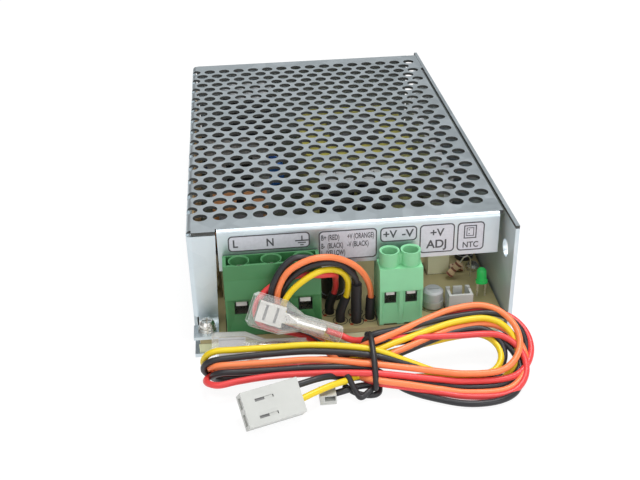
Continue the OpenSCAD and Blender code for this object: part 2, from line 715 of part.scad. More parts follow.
// A rising cage: a square loop that the wire goes through, tapped for its screw
module clamp_cage(x, w, wall, thread_r) {
    color("gainsboro") translate([x, 0, 0]) difference() {
        span([-w / 2, clamp_y - cage_depth / 2, cage_floor],
             [w / 2, clamp_y + cage_depth / 2, cage_roof + cage_roof_t]);
        span([-w / 2 + wall, clamp_front - 1, cage_floor + cage_floor_t],
             [w / 2 - wall, clamp_front + cage_depth + 2, cage_roof]);
        translate([0, clamp_y, cage_roof - 1]) cylinder(r = thread_r + thread_fit, h = cage_roof_t + 2);
    }
}

// Fixed tongue in a cage, with its leg down to the board and its soldered pin
module busbar(x, w) {
    translate([x, 0, 0]) {
        span([-w / 2, clamp_front + 0.9, tongue_bottom],
             [w / 2, leg_y + leg_t / 2, tongue_bottom + tongue_t]);
        span([-w / 2, leg_y - leg_t / 2, pcb_top + 0.1], [w / 2, leg_y + leg_t / 2, tongue_bottom + eps]);
        translate([0, leg_y, pcb_bottom - pin_tail]) cylinder(r = pin_r, h = pcb_t + pin_tail + 0.2);
    }
}

module ac_busbars() {
    color("silver") for (i = [1:ac_poles]) busbar(ac_x(i), ac_tongue_w);
}

module dc_busbars() {
    color("silver") for (i = [1:dc_poles]) busbar(dc_x(i), dc_tongue_w);
}

// Adjuster body: a ring on two feet with a bearing for the knob
module trimmer_base() {
    color("white") translate([trimmer_at[0], trimmer_at[1], pcb_top]) difference() {
        union() {
            translate([0, 0, 0.6]) cylinder(d = knob_d + 0.4, h = 2.2);
            for (s = [-1, 1]) {
                translate([s * knob_d * 0.3 - 0.7, -knob_d * 0.3, 0]) cube([1.4, knob_d * 0.6, 0.7]);
            }
        }
        translate([0, 0, 0.6 + 0.4]) cylinder(r = 1.1, h = 4);
    }
}

// Adjuster knob: a low round cap with a screwdriver slot, on a short spindle
module trimmer_knob() {
    color("lightgray") translate([trimmer_at[0], trimmer_at[1], pcb_top + 2.9]) difference() {
        union() {
            cylinder(d = knob_d, h = 2.8);
            translate([0, 0, 2.8 - eps]) cylinder(d1 = knob_d, d2 = knob_d - 1.2, h = 0.6);
            translate([0, 0, -1.7]) cylinder(r = 1.05, h = 1.8);
        }
        translate([-knob_d * 0.28, -0.35, 3]) cube([knob_d * 0.56, 0.7, 2]);
    }
}

// Two-way shrouded pin header with slotted walls
module ntc_header() {
    w = header_size[0];
    d = header_size[1];
    h = header_size[2];
    color("ivory") translate([header_at[0], header_at[1], pcb_top]) difference() {
        translate([-w / 2, -d / 2, 0]) cube(header_size);
        translate([-w / 2 + header_wall, -d / 2 + header_wall, 1.4])
            cube([w - 2 * header_wall, d - 2 * header_wall, h]);
        for (s = [-1, 1]) {
            translate([s * 1.9 - 0.5, d / 2 - 2, 3]) cube([1, 3, h]);
            translate([s * (w / 2 - 0.4) - 1, d / 2 - 2, 2.4]) cube([2, 0.8, h]);
            translate([s * 1.25, 0, -1]) cylinder(r = 0.5, h = 4);
        }
    }
}

module ntc_pins() {
    color("silver") translate([header_at[0], header_at[1], pcb_top]) for (s = [-1, 1]) {
        translate([s * 1.25 - 0.3, -0.3, 0.02]) cube([0.6, 0.6, 5.4]);
    }
}

// Green indicator lamp leaning back on its two legs
module led() {
    color("green") translate([led_at[0], led_at[1], pcb_top + 4.8]) rotate([-14, 0, 0]) {
        cylinder(d = 3.8, h = 1);
        cylinder(d = 3.1, h = 3.6);
        translate([0, 0, 3.6]) sphere(d = 3.1);
    }
}

module led_leads() {
    color("silver") for (s = [-1, 1]) {
        translate([led_at[0] + s * led_lead_gap / 2 - 0.25, led_at[1] - 0.25, pcb_top]) cube([0.5, 0.5, 4.5]);
    }
}

// Film capacitor, a plain moulded box
module film_capacitor() {
    color("wheat") translate([film_at[0] - film_size[0] / 2, film_at[1] - film_size[1] / 2, pcb_top])
        cube(film_size);
}

// Upright resistor leaning to the right, and a small one lying behind it
module resistor_body(length) {
    cylinder(d = 2.2, h = length);
    cylinder(d = 2.6, h = length * 0.3);
    translate([0, 0, length * 0.7]) cylinder(d = 2.6, h = length * 0.3);
}

module resistors() {
    color("peru") translate([resistor_at[0], resistor_at[1], pcb_top + 1.2]) rotate([0, resistor_lean, 0])
        resistor_body(resistor_l);
    color("steelblue") translate([resistor_at[0] + 1.2, resistor_at[1] + 4, pcb_top + 1.4]) rotate([0, 90, 0])
        resistor_body(4.2);
}

module resistor_leads() {
    reach = resistor_l + 0.1;
    top = [resistor_at[0] + reach * sin(resistor_lean), resistor_at[1],
           pcb_top + 1.2 + reach * cos(resistor_lean)];
    foot = [top[0] + 3.6, top[1], pcb_top];
    bow = [top, top + [1.2, 0, 2], top + [2.4, 0, 2.5], top + [3.4, 0, 1.4], top + [3.6, 0, -1], foot];
    color("silver") swept(bow, 0.25, 6);
    color("silver") for (x = [0.9, 5.7]) {
        translate([resistor_at[0] + x, resistor_at[1] + 4, pcb_top]) cylinder(r = 0.2, h = 1.4);
    }
}

// Transformer: ferrite core inside a taped winding
module transformer_core() {
    w = trafo_core_size[0] / 2;
    d = trafo_core_size[1] / 2;
    color("dimgray") translate([trafo_at[0], trafo_at[1], pcb_top])
        span([-w, -d, 0], [w, d, trafo_core_size[2]]);
}

module transformer_winding() {
    corner = 5;
    w = trafo_size[0] / 2 - corner;
    d = trafo_size[1] / 2 - corner;
    color("gold") translate([trafo_at[0], trafo_at[1], pcb_top]) difference() {
        union() {
            for (x = [-w, w]) for (y = [-d, d]) translate([x, y, 0]) cylinder(r = corner, h = trafo_size[2]);
            span([-w, -d - corner, 0], [w, d + corner, trafo_size[2]]);
            span([-w - corner, -d, 0], [w + corner, d, trafo_size[2]]);
        }
        translate([-trafo_core_size[0] / 2 - 0.1, -trafo_core_size[1] / 2 - 0.1, -1])
            cube([trafo_core_size[0] + 0.2, trafo_core_size[1] + 0.2, trafo_size[2] + 2]);
    }
}

// An upright can with a rolled groove near its foot
module can(d, h) {
    difference() {
        cylinder(d = d, h = h);
        translate([0, 0, 1.6]) difference() {
            cylinder(d = d + 1, h = 1);
            translate([0, 0, -1]) cylinder(d = d - 0.8, h = 3);
        }
        for (a = [0, 90]) rotate(a) translate([-d * 0.3, -0.2, h - 0.3]) cube([d * 0.6, 0.4, 1]);
    }
}

module bulk_capacitor() {
    color("darkslategray") translate([bulk_at[0], bulk_at[1], pcb_top]) can(bulk_d, bulk_h);
}

module electrolytics() {
    color("darkslategray") {
        for (p = output_cap_at) translate([p[0], p[1], pcb_top]) can(output_cap[0], output_cap[1]);
        translate([right_can_at[0], right_can_at[1], pcb_top]) can(right_can[0], right_can[1]);
        translate([front_can_at[0], front_can_at[1], pcb_top]) can(front_can[0], front_can[1]);
    }
}

// Line filter: a square core with two copper coils
module choke_core() {
    w = choke_size[0] / 2 - choke_inset;
    d = choke_size[1] / 2;
    color("darkgreen") translate([choke_at[0], choke_at[1], pcb_top]) {
        difference() {
            span([-w, -d, choke_foot], [w, d, choke_size[2] - choke_foot]);
            span([-w + choke_bar, -d + choke_bar, 0], [w - choke_bar, d - choke_bar, choke_size[2]]);
        }
        for (y = [-1, 1]) span([-w, y * (d - 2) - 2, 0], [w, y * (d - 2) + 2, choke_foot + eps]);
    }
}

module choke_windings() {
    fit = 0.2;
    coil = 1.8;
    reach = choke_size[1] - 2 * choke_bar - 1;
    tall = choke_size[2] - 2 * choke_foot;
    w = choke_bar / 2 + fit;
    color("chocolate") translate([choke_at[0], choke_at[1], pcb_top + choke_size[2] / 2]) for (s = [-1, 1]) {
        translate([s * (choke_size[0] / 2 - choke_inset - choke_bar / 2), 0, 0]) difference() {
            span([-w - coil, -reach / 2, -tall / 2 - coil], [w + coil, reach / 2, tall / 2 + coil]);
            span([-w, -reach, -tall / 2 - fit], [w, reach, tall / 2 + fit]);
        }
    }
}

// Blue disc capacitors standing on the board
module disc_capacitors() {
    color("royalblue") for (p = disc_at) {
        translate([p[0], p[1] - 1.8, pcb_top + 5.2]) rotate([-90, 0, 0]) cylinder(d = 9.6, h = 3.6);
        for (s = [-1, 1]) translate([p[0] + s * 2.5, p[1], pcb_top]) cylinder(r = 0.4, h = 3);
    }
}

// Heatsink bars for the switching and the output semiconductors
module heatsinks() {
    color("darkgray") {
        span([from_left(primary_sink_span[0]), primary_sink_y, pcb_top],
             [from_left(primary_sink_span[1]), primary_sink_y + heatsink_t, pcb_top + heatsink_h]);
        span([secondary_sink_x, from_front(secondary_sink_span[0]), pcb_top],
             [secondary_sink_x + heatsink_t, from_front(secondary_sink_span[1]), pcb_top + heatsink_h]);
    }
}

// Power semiconductors with their tabs against the heatsinks
module tab_package() {
    span([-tab_w / 2, 0, tab_foot], [tab_w / 2, tab_body[0], tab_body[1]]);
    span([-tab_w / 2, 0, tab_body[1] - eps], [tab_w / 2, tab_plate[0], tab_plate[1]]);
    for (k = [-1:1]) {
        translate([k * tab_lead_pitch - tab_lead / 2, tab_lead_gap, 0])
            cube([tab_lead, tab_lead, tab_foot + eps]);
    }
}

module power_transistors() {
    color("black") {
        translate([from_left(17), primary_sink_y, pcb_top]) rotate(180) tab_package();
        translate([secondary_sink_x + heatsink_t, from_front(80), pcb_top]) rotate(-90) tab_package();
    }
}

module bridge_rectifier() {
    w = bridge_size[0];
    color("black") translate([bridge_at[0], bridge_at[1], pcb_top]) {
        span([-w / 2, 0, bridge_foot], [w / 2, bridge_size[1], bridge_size[2]]);
        for (x = [-0.42, -0.14, 0.14, 0.42]) {
            span([x * w - 0.5, 1.5, 0], [x * w + 0.5, 2.5, bridge_foot + eps]);
        }
    }
}

// Fuse lying on two board clips
module fuse() {
    color("lightgray") translate([fuse_at[0], fuse_at[1], pcb_top + 3.4]) {
        rotate([-90, 0, 0]) cylinder(d = 5, h = 20);
        for (y = [0, 15]) {
            translate([0, y, 0]) rotate([-90, 0, 0]) cylinder(d = 5.4, h = 5);
            span([-2, y + 1, -3.4], [2, y + 4, -2]);
        }
    }
}

module x_capacitor() {
    color("sandybrown") translate([x_cap_at[0] - x_cap_size[0] / 2, x_cap_at[1] - x_cap_size[1] / 2, pcb_top])
        cube(x_cap_size);
}

// One wire: from the top of its shrink sleeve into the hank, and its tail out of the hank
module wire(path, tail) {
    translate(harness_at) {
        swept(part_of(path, sleeve_points - 1, len(path) - 1), wire_r);
        swept(tail, wire_r);
    }
}

module wire_red() {
    color("crimson") wire(path_red, tail_red);
}

module wire_yellow() {
    color("gold") wire(path_yellow, tail_yellow);
}

module wire_orange() {
    color("coral") wire(path_orange, tail_orange);
}

module wire_black_1() {
    color("black") wire(path_black_1, tail_black_1);
}

module wire_black_2() {
    color("black") wire(path_black_2, tail_black_2);
}

// Shrink sleeves over the soldered ends of the wires
module wire_sleeves() {
    color("black") for (p = [path_red, path_yellow, path_orange, path_black_1, path_black_2]) {
        translate(harness_at) swept(part_of(p, 0, sleeve_points - 1), sleeve_r);
    }
}

// The hank's place: its lower face rises from the floor towards the case
module on_hank() {
    translate(harness_at + hank_foot) rotate([hank_tilt, 0, 0]) children();
}

// Outer shape of the folded and tied wires
module wire_hank() {
    color("orangered") on_hank() linear_extrude(hank_t) {
        hull() {
            translate(hank_left) circle(hank_left_r, $fn = 32);
            translate(hank_waist) circle(hank_waist_r, $fn = 32);
        }
        hull() {
            translate(hank_waist) circle(hank_waist_r, $fn = 32);
            translate(hank_loop) circle(hank_loop_r, $fn = 32);
        }
    }
}

// Twist tie round the hank's waist
module hank_tie() {
    w = hank_waist_r + tie_gap;
    h = hank_t / 2 + tie_gap;
    color("black") on_hank() translate([hank_waist[0] - tie_r, hank_waist[1], hank_t / 2]) difference() {
        span([0, -w - tie_r, -h - tie_r], [2 * tie_r, w + tie_r, h + tie_r]);
        span([-1, -w, -h], [2 * tie_r + 1, w, h]);
    }
}

// A receptacle along +X: folded blade socket, then the crimped barrel
module spade_terminal() {
    difference() {
        span([spade_inset, -spade_w / 2, -spade_t / 2], [spade_end, spade_w / 2, spade_t / 2]);
        span([0, -spade_w / 2 + spade_curl, -spade_t / 2 + spade_wall],
             [spade_end - spade_wall, spade_w / 2 - spade_curl, spade_t / 2 - spade_wall]);
        span([spade_inset + 1.4, -spade_slot_w / 2, 0], [spade_end - spade_wall, spade_slot_w / 2, spade_t]);
    }
    hull() {
        span([spade_end - eps, -1.6, -0.6], [spade_end, 1.6, 0.6]);
        translate([14, 0, 0]) rotate([0, 90, 0]) cylinder(r = barrel_r - 0.2, h = eps, $fn = 16);
    }
    translate([14, 0, 0]) rotate([0, 90, 0]) cylinder(r = barrel_r, h = barrel_l);
}

// Clear sleeve over a receptacle: a flat mouth that narrows to a round neck
module sleeve_outline(wall) {
    w = sleeve_w / 2 - wall;
    t = sleeve_t / 2 - wall;
    r = sleeve_neck_r - wall;
    neck = sleeve_flat_l + 4;
    hull() {
        span([0, -w + 1, -t], [sleeve_flat_l, w - 1, t]);
        span([1, -w, -t + 0.6], [sleeve_flat_l - 1, w, t - 0.6]);
        translate([neck, 0, 0]) rotate([0, 90, 0]) cylinder(r = r, h = 1, $fn = 24);
    }
    translate([neck, 0, 0]) rotate([0, 90, 0]) cylinder(r = r, h = sleeve_l - neck);
}

module spade_sleeve() {
    mouth = [sleeve_w / 2 - 1.2, sleeve_t / 2 - 0.6];
    difference() {
        sleeve_outline(0);
        translate([-eps, 0, 0]) sleeve_outline(sleeve_wall);
        span([-1, -mouth[0], -mouth[1]], [2, mouth[0], mouth[1]]);
        translate([sleeve_l - 2, 0, 0]) rotate([0, 90, 0]) cylinder(r = sleeve_neck_r - sleeve_wall, h = 3);
    }
}

module spade_1() {
    color("silver") translate(harness_at + spade_1_at) rotate(spade_1_turn) spade_terminal();
}

module spade_2() {
    color("silver") translate(harness_at + spade_2_at) rotate(spade_2_turn) spade_terminal();
}

module spade_sleeve_1() {
    color("whitesmoke") translate(harness_at + spade_1_at) rotate(spade_1_turn) spade_sleeve();
}

module spade_sleeve_2() {
    color("whitesmoke") translate(harness_at + spade_2_at) rotate(spade_2_turn) spade_sleeve();
}

// White two-way plug with a latch window over each contact
module plug_housing() {
    color("whitesmoke") translate(harness_at + plug_at) rotate(plug_turn) difference() {
        cube(plug_size);
        for (k = [-0.5, 0.5]) {
            y = plug_size[1] / 2 + k * plug_pitch;
            translate([3.4, y - plug_slot[1] / 2, plug_size[2] - 1.4]) cube([plug_slot[0], plug_slot[1], 3]);
            translate([-1, y - 1.6, plug_size[2] / 2 - 1.2]) cube([plug_size[0] + 2, 3.2, 2.4]);
        }
    }
}

module plug_contacts() {
    color("silver") translate(harness_at + plug_at) rotate(plug_turn) for (k = [-0.5, 0.5]) {
        y = plug_size[1] / 2 + k * plug_pitch;
        translate([0.8, y - 1.4, plug_size[2] / 2 - 1.15]) cube([11, 2.8, 2]);
    }
}

// Small single-way plug on the second black wire
module tail_plug() {
    color("gainsboro") translate(harness_at + tail_plug_at) difference() {
        cube(tail_plug_size);
        translate([1.3, -1, 1.2]) cube([3, 4, 1.6]);
    }
}

chassis();
cover();
case_screws();
screw_washers();
pcb();
standoffs();
insulation_sheet();
side_insulator();
ac_housing();
clamp_screw(ac_x(1), ac_thread_r, ac_head_r);  // ac_screw_1
clamp_screw(ac_x(2), ac_thread_r, ac_head_r);  // ac_screw_2
clamp_screw(ac_x(3), ac_thread_r, ac_head_r);  // ac_screw_3
clamp_cage(ac_x(1), ac_cage_w, ac_cage_wall, ac_thread_r);  // ac_cage_1
clamp_cage(ac_x(2), ac_cage_w, ac_cage_wall, ac_thread_r);  // ac_cage_2
clamp_cage(ac_x(3), ac_cage_w, ac_cage_wall, ac_thread_r);  // ac_cage_3
ac_busbars();
dc_housing();
clamp_screw(dc_x(1), dc_thread_r, dc_head_r);  // dc_screw_1
clamp_screw(dc_x(2), dc_thread_r, dc_head_r);  // dc_screw_2
clamp_cage(dc_x(1), dc_cage_w, dc_cage_wall, dc_thread_r);  // dc_cage_1
clamp_cage(dc_x(2), dc_cage_w, dc_cage_wall, dc_thread_r);  // dc_cage_2
dc_busbars();
trimmer_base();
trimmer_knob();
ntc_header();
ntc_pins();
led();
led_leads();
resistors();
resistor_leads();
film_capacitor();
transformer_core();
transformer_winding();
bulk_capacitor();
electrolytics();
choke_core();
choke_windings();
disc_capacitors();
heatsinks();
power_transistors();
bridge_rectifier();
fuse();
x_capacitor();
wire_red();
wire_yellow();
wire_orange();
wire_black_1();
wire_black_2();
wire_sleeves();
wire_hank();
hank_tie();
spade_1();
spade_2();
spade_sleeve_1();
spade_sleeve_2();
plug_housing();
plug_contacts();
tail_plug();
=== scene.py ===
"""Looks of an enclosed power supply: sheet metal, terminals, board print, lip legend and tied harness."""

import json
import math

import bpy
from mathutils import Euler, Matrix, Vector


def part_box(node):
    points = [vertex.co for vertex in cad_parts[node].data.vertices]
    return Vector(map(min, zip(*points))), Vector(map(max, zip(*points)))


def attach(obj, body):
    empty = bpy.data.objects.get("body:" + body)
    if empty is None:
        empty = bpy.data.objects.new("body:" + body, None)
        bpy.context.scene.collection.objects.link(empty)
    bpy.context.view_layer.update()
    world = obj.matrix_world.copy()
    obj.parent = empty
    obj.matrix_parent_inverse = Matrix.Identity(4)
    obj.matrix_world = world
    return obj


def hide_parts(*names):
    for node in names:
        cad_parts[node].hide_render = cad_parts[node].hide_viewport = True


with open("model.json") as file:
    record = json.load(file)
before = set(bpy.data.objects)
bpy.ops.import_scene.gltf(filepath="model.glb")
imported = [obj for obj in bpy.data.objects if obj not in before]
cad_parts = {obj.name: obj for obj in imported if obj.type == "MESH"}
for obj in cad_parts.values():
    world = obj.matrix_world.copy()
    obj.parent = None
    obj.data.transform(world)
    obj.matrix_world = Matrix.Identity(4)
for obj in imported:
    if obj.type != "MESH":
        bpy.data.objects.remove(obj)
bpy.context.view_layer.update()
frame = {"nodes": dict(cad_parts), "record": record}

MM = 0.001
CASE = "case"
nodes = frame["nodes"]

# Where finishes and painted shade change, in millimetres
COVER_UNDERSIDE = 37.02
TONGUE_UNDERSIDE = 17.8
BOARD_SHADE_FROM = -36
CLAMPS_FRONT = -73
CLAMPS_RIGHT = 20


def mm(*values):
    """A point given in millimetres, in metres."""
    return Vector(values) * MM


# Camera: where the photograph was taken from
CAMERA_AT = (-31.2, -315.2, 171.3)
CAMERA_DOWN = math.radians(29.44)
CAMERA_YAW = math.radians(5.146)
CAMERA_ROLL = math.radians(-1.352)
CAMERA_LENS = 53.49
CAMERA_SENSOR = 36


def add_camera():
    ahead = Vector(
        (
            math.sin(CAMERA_YAW) * math.cos(CAMERA_DOWN),
            math.cos(CAMERA_YAW) * math.cos(CAMERA_DOWN),
            -math.sin(CAMERA_DOWN),
        )
    )
    level = Vector((math.cos(CAMERA_YAW), -math.sin(CAMERA_YAW), 0))
    upright = level.cross(ahead)
    right = math.cos(CAMERA_ROLL) * level + math.sin(CAMERA_ROLL) * upright
    up = math.cos(CAMERA_ROLL) * upright - math.sin(CAMERA_ROLL) * level
    turn = Matrix((right, up, -ahead)).transposed().to_4x4()
    lens = bpy.data.cameras.new("camera")
    lens.sensor_width = CAMERA_SENSOR
    lens.lens = CAMERA_LENS
    lens.clip_start = 0.01
    camera = bpy.data.objects.new("camera", lens)
    camera.matrix_world = Matrix.Translation(mm(*CAMERA_AT)) @ turn
    bpy.context.scene.collection.objects.link(camera)
    bpy.context.scene.camera = camera


add_camera()


class Value:
    """A socket of a node tree, so that shader maths reads as arithmetic."""

    def __init__(self, tree, socket):
        self.tree = tree
        self.socket = socket

    def maths(self, operation, *operands):
        return self.tree.node("ShaderNodeMath", {"operation": operation}, *operands)

    def __add__(self, other):
        return self.maths("ADD", self, other)

    __radd__ = __add__

    def __sub__(self, other):
        return self.maths("SUBTRACT", self, other)

    def __rsub__(self, other):
        return self.maths("SUBTRACT", other, self)

    def __mul__(self, other):
        return self.maths("MULTIPLY", self, other)

    __rmul__ = __mul__

    def __truediv__(self, other):
        return self.maths("DIVIDE", self, other)

    def __gt__(self, other):
        return self.maths("GREATER_THAN", self, other)

    def __lt__(self, other):
        return self.maths("LESS_THAN", self, other)

    def most(self, other):
        return self.maths("MAXIMUM", self, other)

    def size(self):
        return self.maths("ABSOLUTE", self)

    def wrapped(self, length):
        return self.maths("PINGPONG", self, length)


class Tree:
    """A node tree, with one method that makes any node."""

    def __init__(self, node_tree):
        self.nodes = node_tree.nodes
        self.links = node_tree.links

    def fill(self, target, value):
        """Gives a socket a link, a colour or a plain value."""
        if isinstance(value, Value):
            self.links.new(value.socket, target)
        elif target.type == "RGBA" and len(value) == 3:
            target.default_value = (*value, 1)
        else:
            target.default_value = value

    def node(self, kind, settings=None, *ordered, out=0, **named):
        """Adds a node: its settings, then the values or links of its sockets; gives one of its outputs."""
        made = self.nodes.new(kind)
        for key, value in (settings or {}).items():
            setattr(made, key, value)
        pairs = list(enumerate(ordered)) + [(key.replace("_", " "), value) for key, value in named.items()]
        for key, value in pairs:
            if value is not None:
                self.fill(made.inputs[key], value)
        return Value(self, made.outputs[out])


class Finish(Tree):
    """A material."""

    def __init__(self, name, **constants):
        self.material = bpy.data.materials.new(name)
        self.material.use_nodes = True
        super().__init__(self.material.node_tree)
        self.shader = self.nodes["Principled BSDF"]
        for socket, value in constants.items():
            self.set(socket, value)

    def set(self, socket, value):
        """Sets a socket of the main shader."""
        self.fill(self.shader.inputs[socket.replace("_", " ")], value)

    def place(self):
        """Position in the part, in metres."""
        return self.node("ShaderNodeTexCoord", out="Object")

    def axes(self):
        """Position in the part along X, Y and Z, in millimetres."""
        split = self.node("ShaderNodeSeparateXYZ", None, self.place()).socket.node
        return [Value(self, split.outputs[i]) / MM for i in range(3)]

    def stretched(self, stretch):
        """Position in the part, stretched along X, Y and Z."""
        return self.node("ShaderNodeVectorMath", {"operation": "MULTIPLY"}, self.place(), stretch)

    def facing(self):
        """The way that the surface faces."""
        return self.node("ShaderNodeNewGeometry", out="Normal")

    def facing_up(self):
        """1 where the surface faces up, 0 where it is upright and -1 where it faces down."""
        return self.node("ShaderNodeSeparateXYZ", None, self.facing(), out="Z")

    def dot(self, one, other):
        return self.node("ShaderNodeVectorMath", {"operation": "DOT_PRODUCT"}, one, other, out="Value")

    def noise(self, per_mm, detail=2.0, stretch=(1, 1, 1)):
        where = self.stretched(stretch)
        scale = per_mm / MM
        return self.node("ShaderNodeTexNoise", None, out="Fac", Vector=where, Scale=scale, Detail=detail)

    def cells(self, per_mm):
        return self.node("ShaderNodeTexVoronoi", None, out="Color", Vector=self.place(), Scale=per_mm / MM)

    def spread(self, value, low, high):
        """value, from about 0.3 to 0.7, spread from low to high."""
        return self.node("ShaderNodeMapRange", None, value, 0.3, 0.7, low, high)

    def mix(self, share, one, other):
        """Two colours mixed by a share; the mixer's sockets for numbers and vectors are skipped."""
        skipped = [None] * 5
        return self.node("ShaderNodeMix", {"data_type": "RGBA"}, share, *skipped, one, other, out=2)

    def bump(self, height, depth_mm, strength):
        made = self.node("ShaderNodeBump", None, Strength=strength, Distance=depth_mm * MM, Height=height)
        self.set("Normal", made)


def shaded(colour, share):
    """A colour made darker or lighter."""
    return tuple(min(1, channel * share) for channel in colour)


# Finishes


def punched_wall(finish):
    """1 on the cut walls of the holes punched through the cover's top, else 0; these walls get painted shade.
    """
    _, _, height = finish.axes()
    upright = finish.facing_up().size() < 0.3
    return upright * (height > COVER_UNDERSIDE)


def inward_face(finish):
    """1 on the upright faces that look into the case, else 0."""
    outward = finish.dot(finish.facing(), finish.stretched((1, 1, 0)))
    return outward < -0.02


def galvanised_sheet():
    finish = Finish("galvanised_sheet")
    spangle = finish.node("ShaderNodeSeparateColor", None, finish.cells(0.16), out="Red")
    cloud = finish.noise(0.03, 3)
    rolled = finish.noise(0.9, 2, (1, 0.04, 1))
    tone = 0.5 * spangle + 0.5 * cloud
    sheet = finish.mix(tone, (0.59, 0.67, 0.71), (0.72, 0.79, 0.83))
    cut = punched_wall(finish)
    # Painted shade: the cut walls of the holes are painted near black and lose their metal.
    finish.set("Base_Color", finish.mix(cut, sheet, (0.06, 0.062, 0.06)))
    finish.set("Metallic", (1 - 0.6 * inward_face(finish)) * (1 - cut))
    finish.set("Roughness", 0.35 + 0.14 * finish.noise(0.4, 3) + 0.05 * spangle + 0.3 * cut)
    finish.bump(rolled, 0.012, 0.5)
    return finish.material


def plated_steel():
    finish = Finish("plated_steel", Metallic=1.0)
    wear = finish.noise(1.2, 3)
    finish.set("Base_Color", finish.mix(wear, (0.62, 0.60, 0.55), (0.80, 0.79, 0.76)))
    finish.set("Roughness", finish.spread(wear, 0.18, 0.38))
    finish.bump(finish.noise(5.0), 0.01, 0.4)
    return finish.material


def tinned_metal():
    """Bright tin, painted dull and dark down in the clamp rooms as painted shade."""
    finish = Finish("tinned_metal", Metallic=1.0)
    grain = finish.noise(2.0, 3)
    bright = finish.mix(grain, (0.70, 0.68, 0.63), (0.86, 0.85, 0.82))
    across, along, height = finish.axes()
    # Painted shade: the tin below the tongues, behind the clamps' front, is painted dark.
    clamp_room_shade = (height < TONGUE_UNDERSIDE) * (along > CLAMPS_FRONT) * (across < CLAMPS_RIGHT)
    finish.set("Base_Color", finish.mix(clamp_room_shade, bright, (0.14, 0.14, 0.13)))
    finish.set("Roughness", finish.spread(grain, 0.22, 0.42))
    finish.bump(finish.noise(4.0), 0.012, 0.4)
    return finish.material


def spade_tin():
    """Dull tin plate of the spades, with drawing lines along them."""
    finish = Finish("spade_tin", Metallic=0.55)
    lines = finish.noise(0.5, 2, (0.2, 1, 1))
    finish.set("Base_Color", finish.mix(lines, (0.52, 0.51, 0.48), (0.60, 0.59, 0.56)))
    finish.set("Roughness", finish.spread(lines, 0.38, 0.46))
    return finish.material


def moulded(name, colour, rough):
    """A moulded plastic with slight cloudiness and a fine texture."""
    finish = Finish(name)
    cloud = finish.noise(0.18, 3)
    finish.set("Base_Color", finish.mix(cloud, shaded(colour, 0.9), shaded(colour, 1.08)))
    finish.set("Roughness", finish.spread(finish.noise(0.7, 2), rough - 0.06, rough + 0.08))
    finish.bump(finish.noise(7.0), 0.01, 0.35)
    return finish.material


def board_laminate():
    """Bare board with faint fibre at the terminals, and painted shade, near black, under the cover."""
    finish = Finish("board_laminate", Roughness=0.5)
    fibre = finish.noise(0.8, 4, (1, 0.15, 1))
    stain = finish.noise(0.06, 3)
    tan = finish.mix(fibre, (0.38, 0.31, 0.15), (0.48, 0.40, 0.22))
    _, along, _ = finish.axes()
    bare = finish.mix(stain, tan, (0.36, 0.33, 0.16))
    # Painted shade: the board further back under the cover is painted near black.
    finish.set("Base_Color", finish.mix(along > BOARD_SHADE_FROM, bare, (0.05, 0.055, 0.035)))
    finish.bump(fibre, 0.02, 0.3)
    return finish.material


def insulation_film():
    finish = Finish("insulation_film", Roughness=0.35)
    haze = finish.noise(0.1, 3)
    finish.set("Base_Color", finish.mix(haze, (0.66, 0.70, 0.40), (0.78, 0.80, 0.55)))
    return finish.material


def fibre_card():
    finish = Finish("fibre_card", Roughness=0.8)
    fibre = finish.noise(0.9, 4, (1, 1, 0.2))
    finish.set("Base_Color", finish.mix(fibre, (0.42, 0.27, 0.13), (0.60, 0.42, 0.22)))
    finish.bump(fibre, 0.05, 0.5)
    return finish.material


def lamp_lens():
    finish = Finish("lamp_lens", IOR=1.5, Emission_Strength=0.35)
    glow = finish.noise(0.5)
    green = finish.mix(glow, (0.01, 0.30, 0.05), (0.03, 0.44, 0.10))
    finish.set("Base_Color", green)
    finish.set("Emission_Color", green)
    finish.set("Roughness", finish.spread(glow, 0.08, 0.14))
    return finish.material


def banded_lacquer():
    """Resistor lacquer with colour rings across the body."""
    finish = Finish("banded_lacquer", Roughness=0.3)
    across, _, height = finish.axes()
    along = 0.62 * across + 0.79 * height
    rings = (along.wrapped(1.1) - 0.55) > 0.2
    shade = finish.mix(finish.noise(0.6), (0.60, 0.42, 0.25), (0.74, 0.56, 0.36))
    finish.set("Base_Color", finish.mix(rings, shade, (0.22, 0.07, 0.05)))
    finish.bump(finish.noise(2.0), 0.03, 0.3)
    return finish.material


def ferrite():
    finish = Finish("ferrite", Metallic=0.2)
    grain = finish.noise(1.5, 4)
    finish.set("Base_Color", finish.mix(grain, (0.05, 0.05, 0.055), (0.13, 0.13, 0.14)))
    finish.set("Roughness", finish.spread(grain, 0.45, 0.65))
    finish.bump(grain, 0.05, 0.4)
    return finish.material


def winding_tape():
    """Yellow film tape in overlapping turns."""
    finish = Finish("winding_tape", Coat_Weight=0.3)
    _, _, height = finish.axes()
    turns = height.wrapped(2.5) < 0.18
    cloud = finish.noise(0.12, 3)
    yellow = finish.mix(cloud, (0.82, 0.78, 0.27), (0.92, 0.89, 0.44))
    finish.set("Base_Color", finish.mix(turns, yellow, (0.44, 0.40, 0.08)))
    finish.set("Roughness", finish.spread(cloud, 0.25, 0.4))
    return finish.material


def can_film():
    """Dark shrink film on a can, with the bare metal of its top showing."""
    finish = Finish("can_film")
    top = finish.facing_up() > 0.9
    film = finish.mix(finish.noise(0.3), (0.02, 0.02, 0.025), (0.05, 0.05, 0.06))
    finish.set("Base_Color", finish.mix(top, film, (0.74, 0.76, 0.78)))
    finish.set("Metallic", 0.4 * top)
    finish.set("Roughness", finish.spread(finish.noise(1.0), 0.25, 0.4))
    return finish.material


def copper_coil():
    finish = Finish("copper_coil", Metallic=0.4, Roughness=0.3)
    _, along, _ = finish.axes()
    turns = along.wrapped(0.45)
    # Painted highlight and shade: each turn is painted bright on its crest and dark in the grooves between
    # turns; the bump gives the same turns their relief.
    finish.set("Base_Color", finish.mix(turns * 2.2, (0.40, 0.14, 0.04), (0.92, 0.46, 0.20)))
    finish.bump(turns, 0.3, 0.8)
    return finish.material


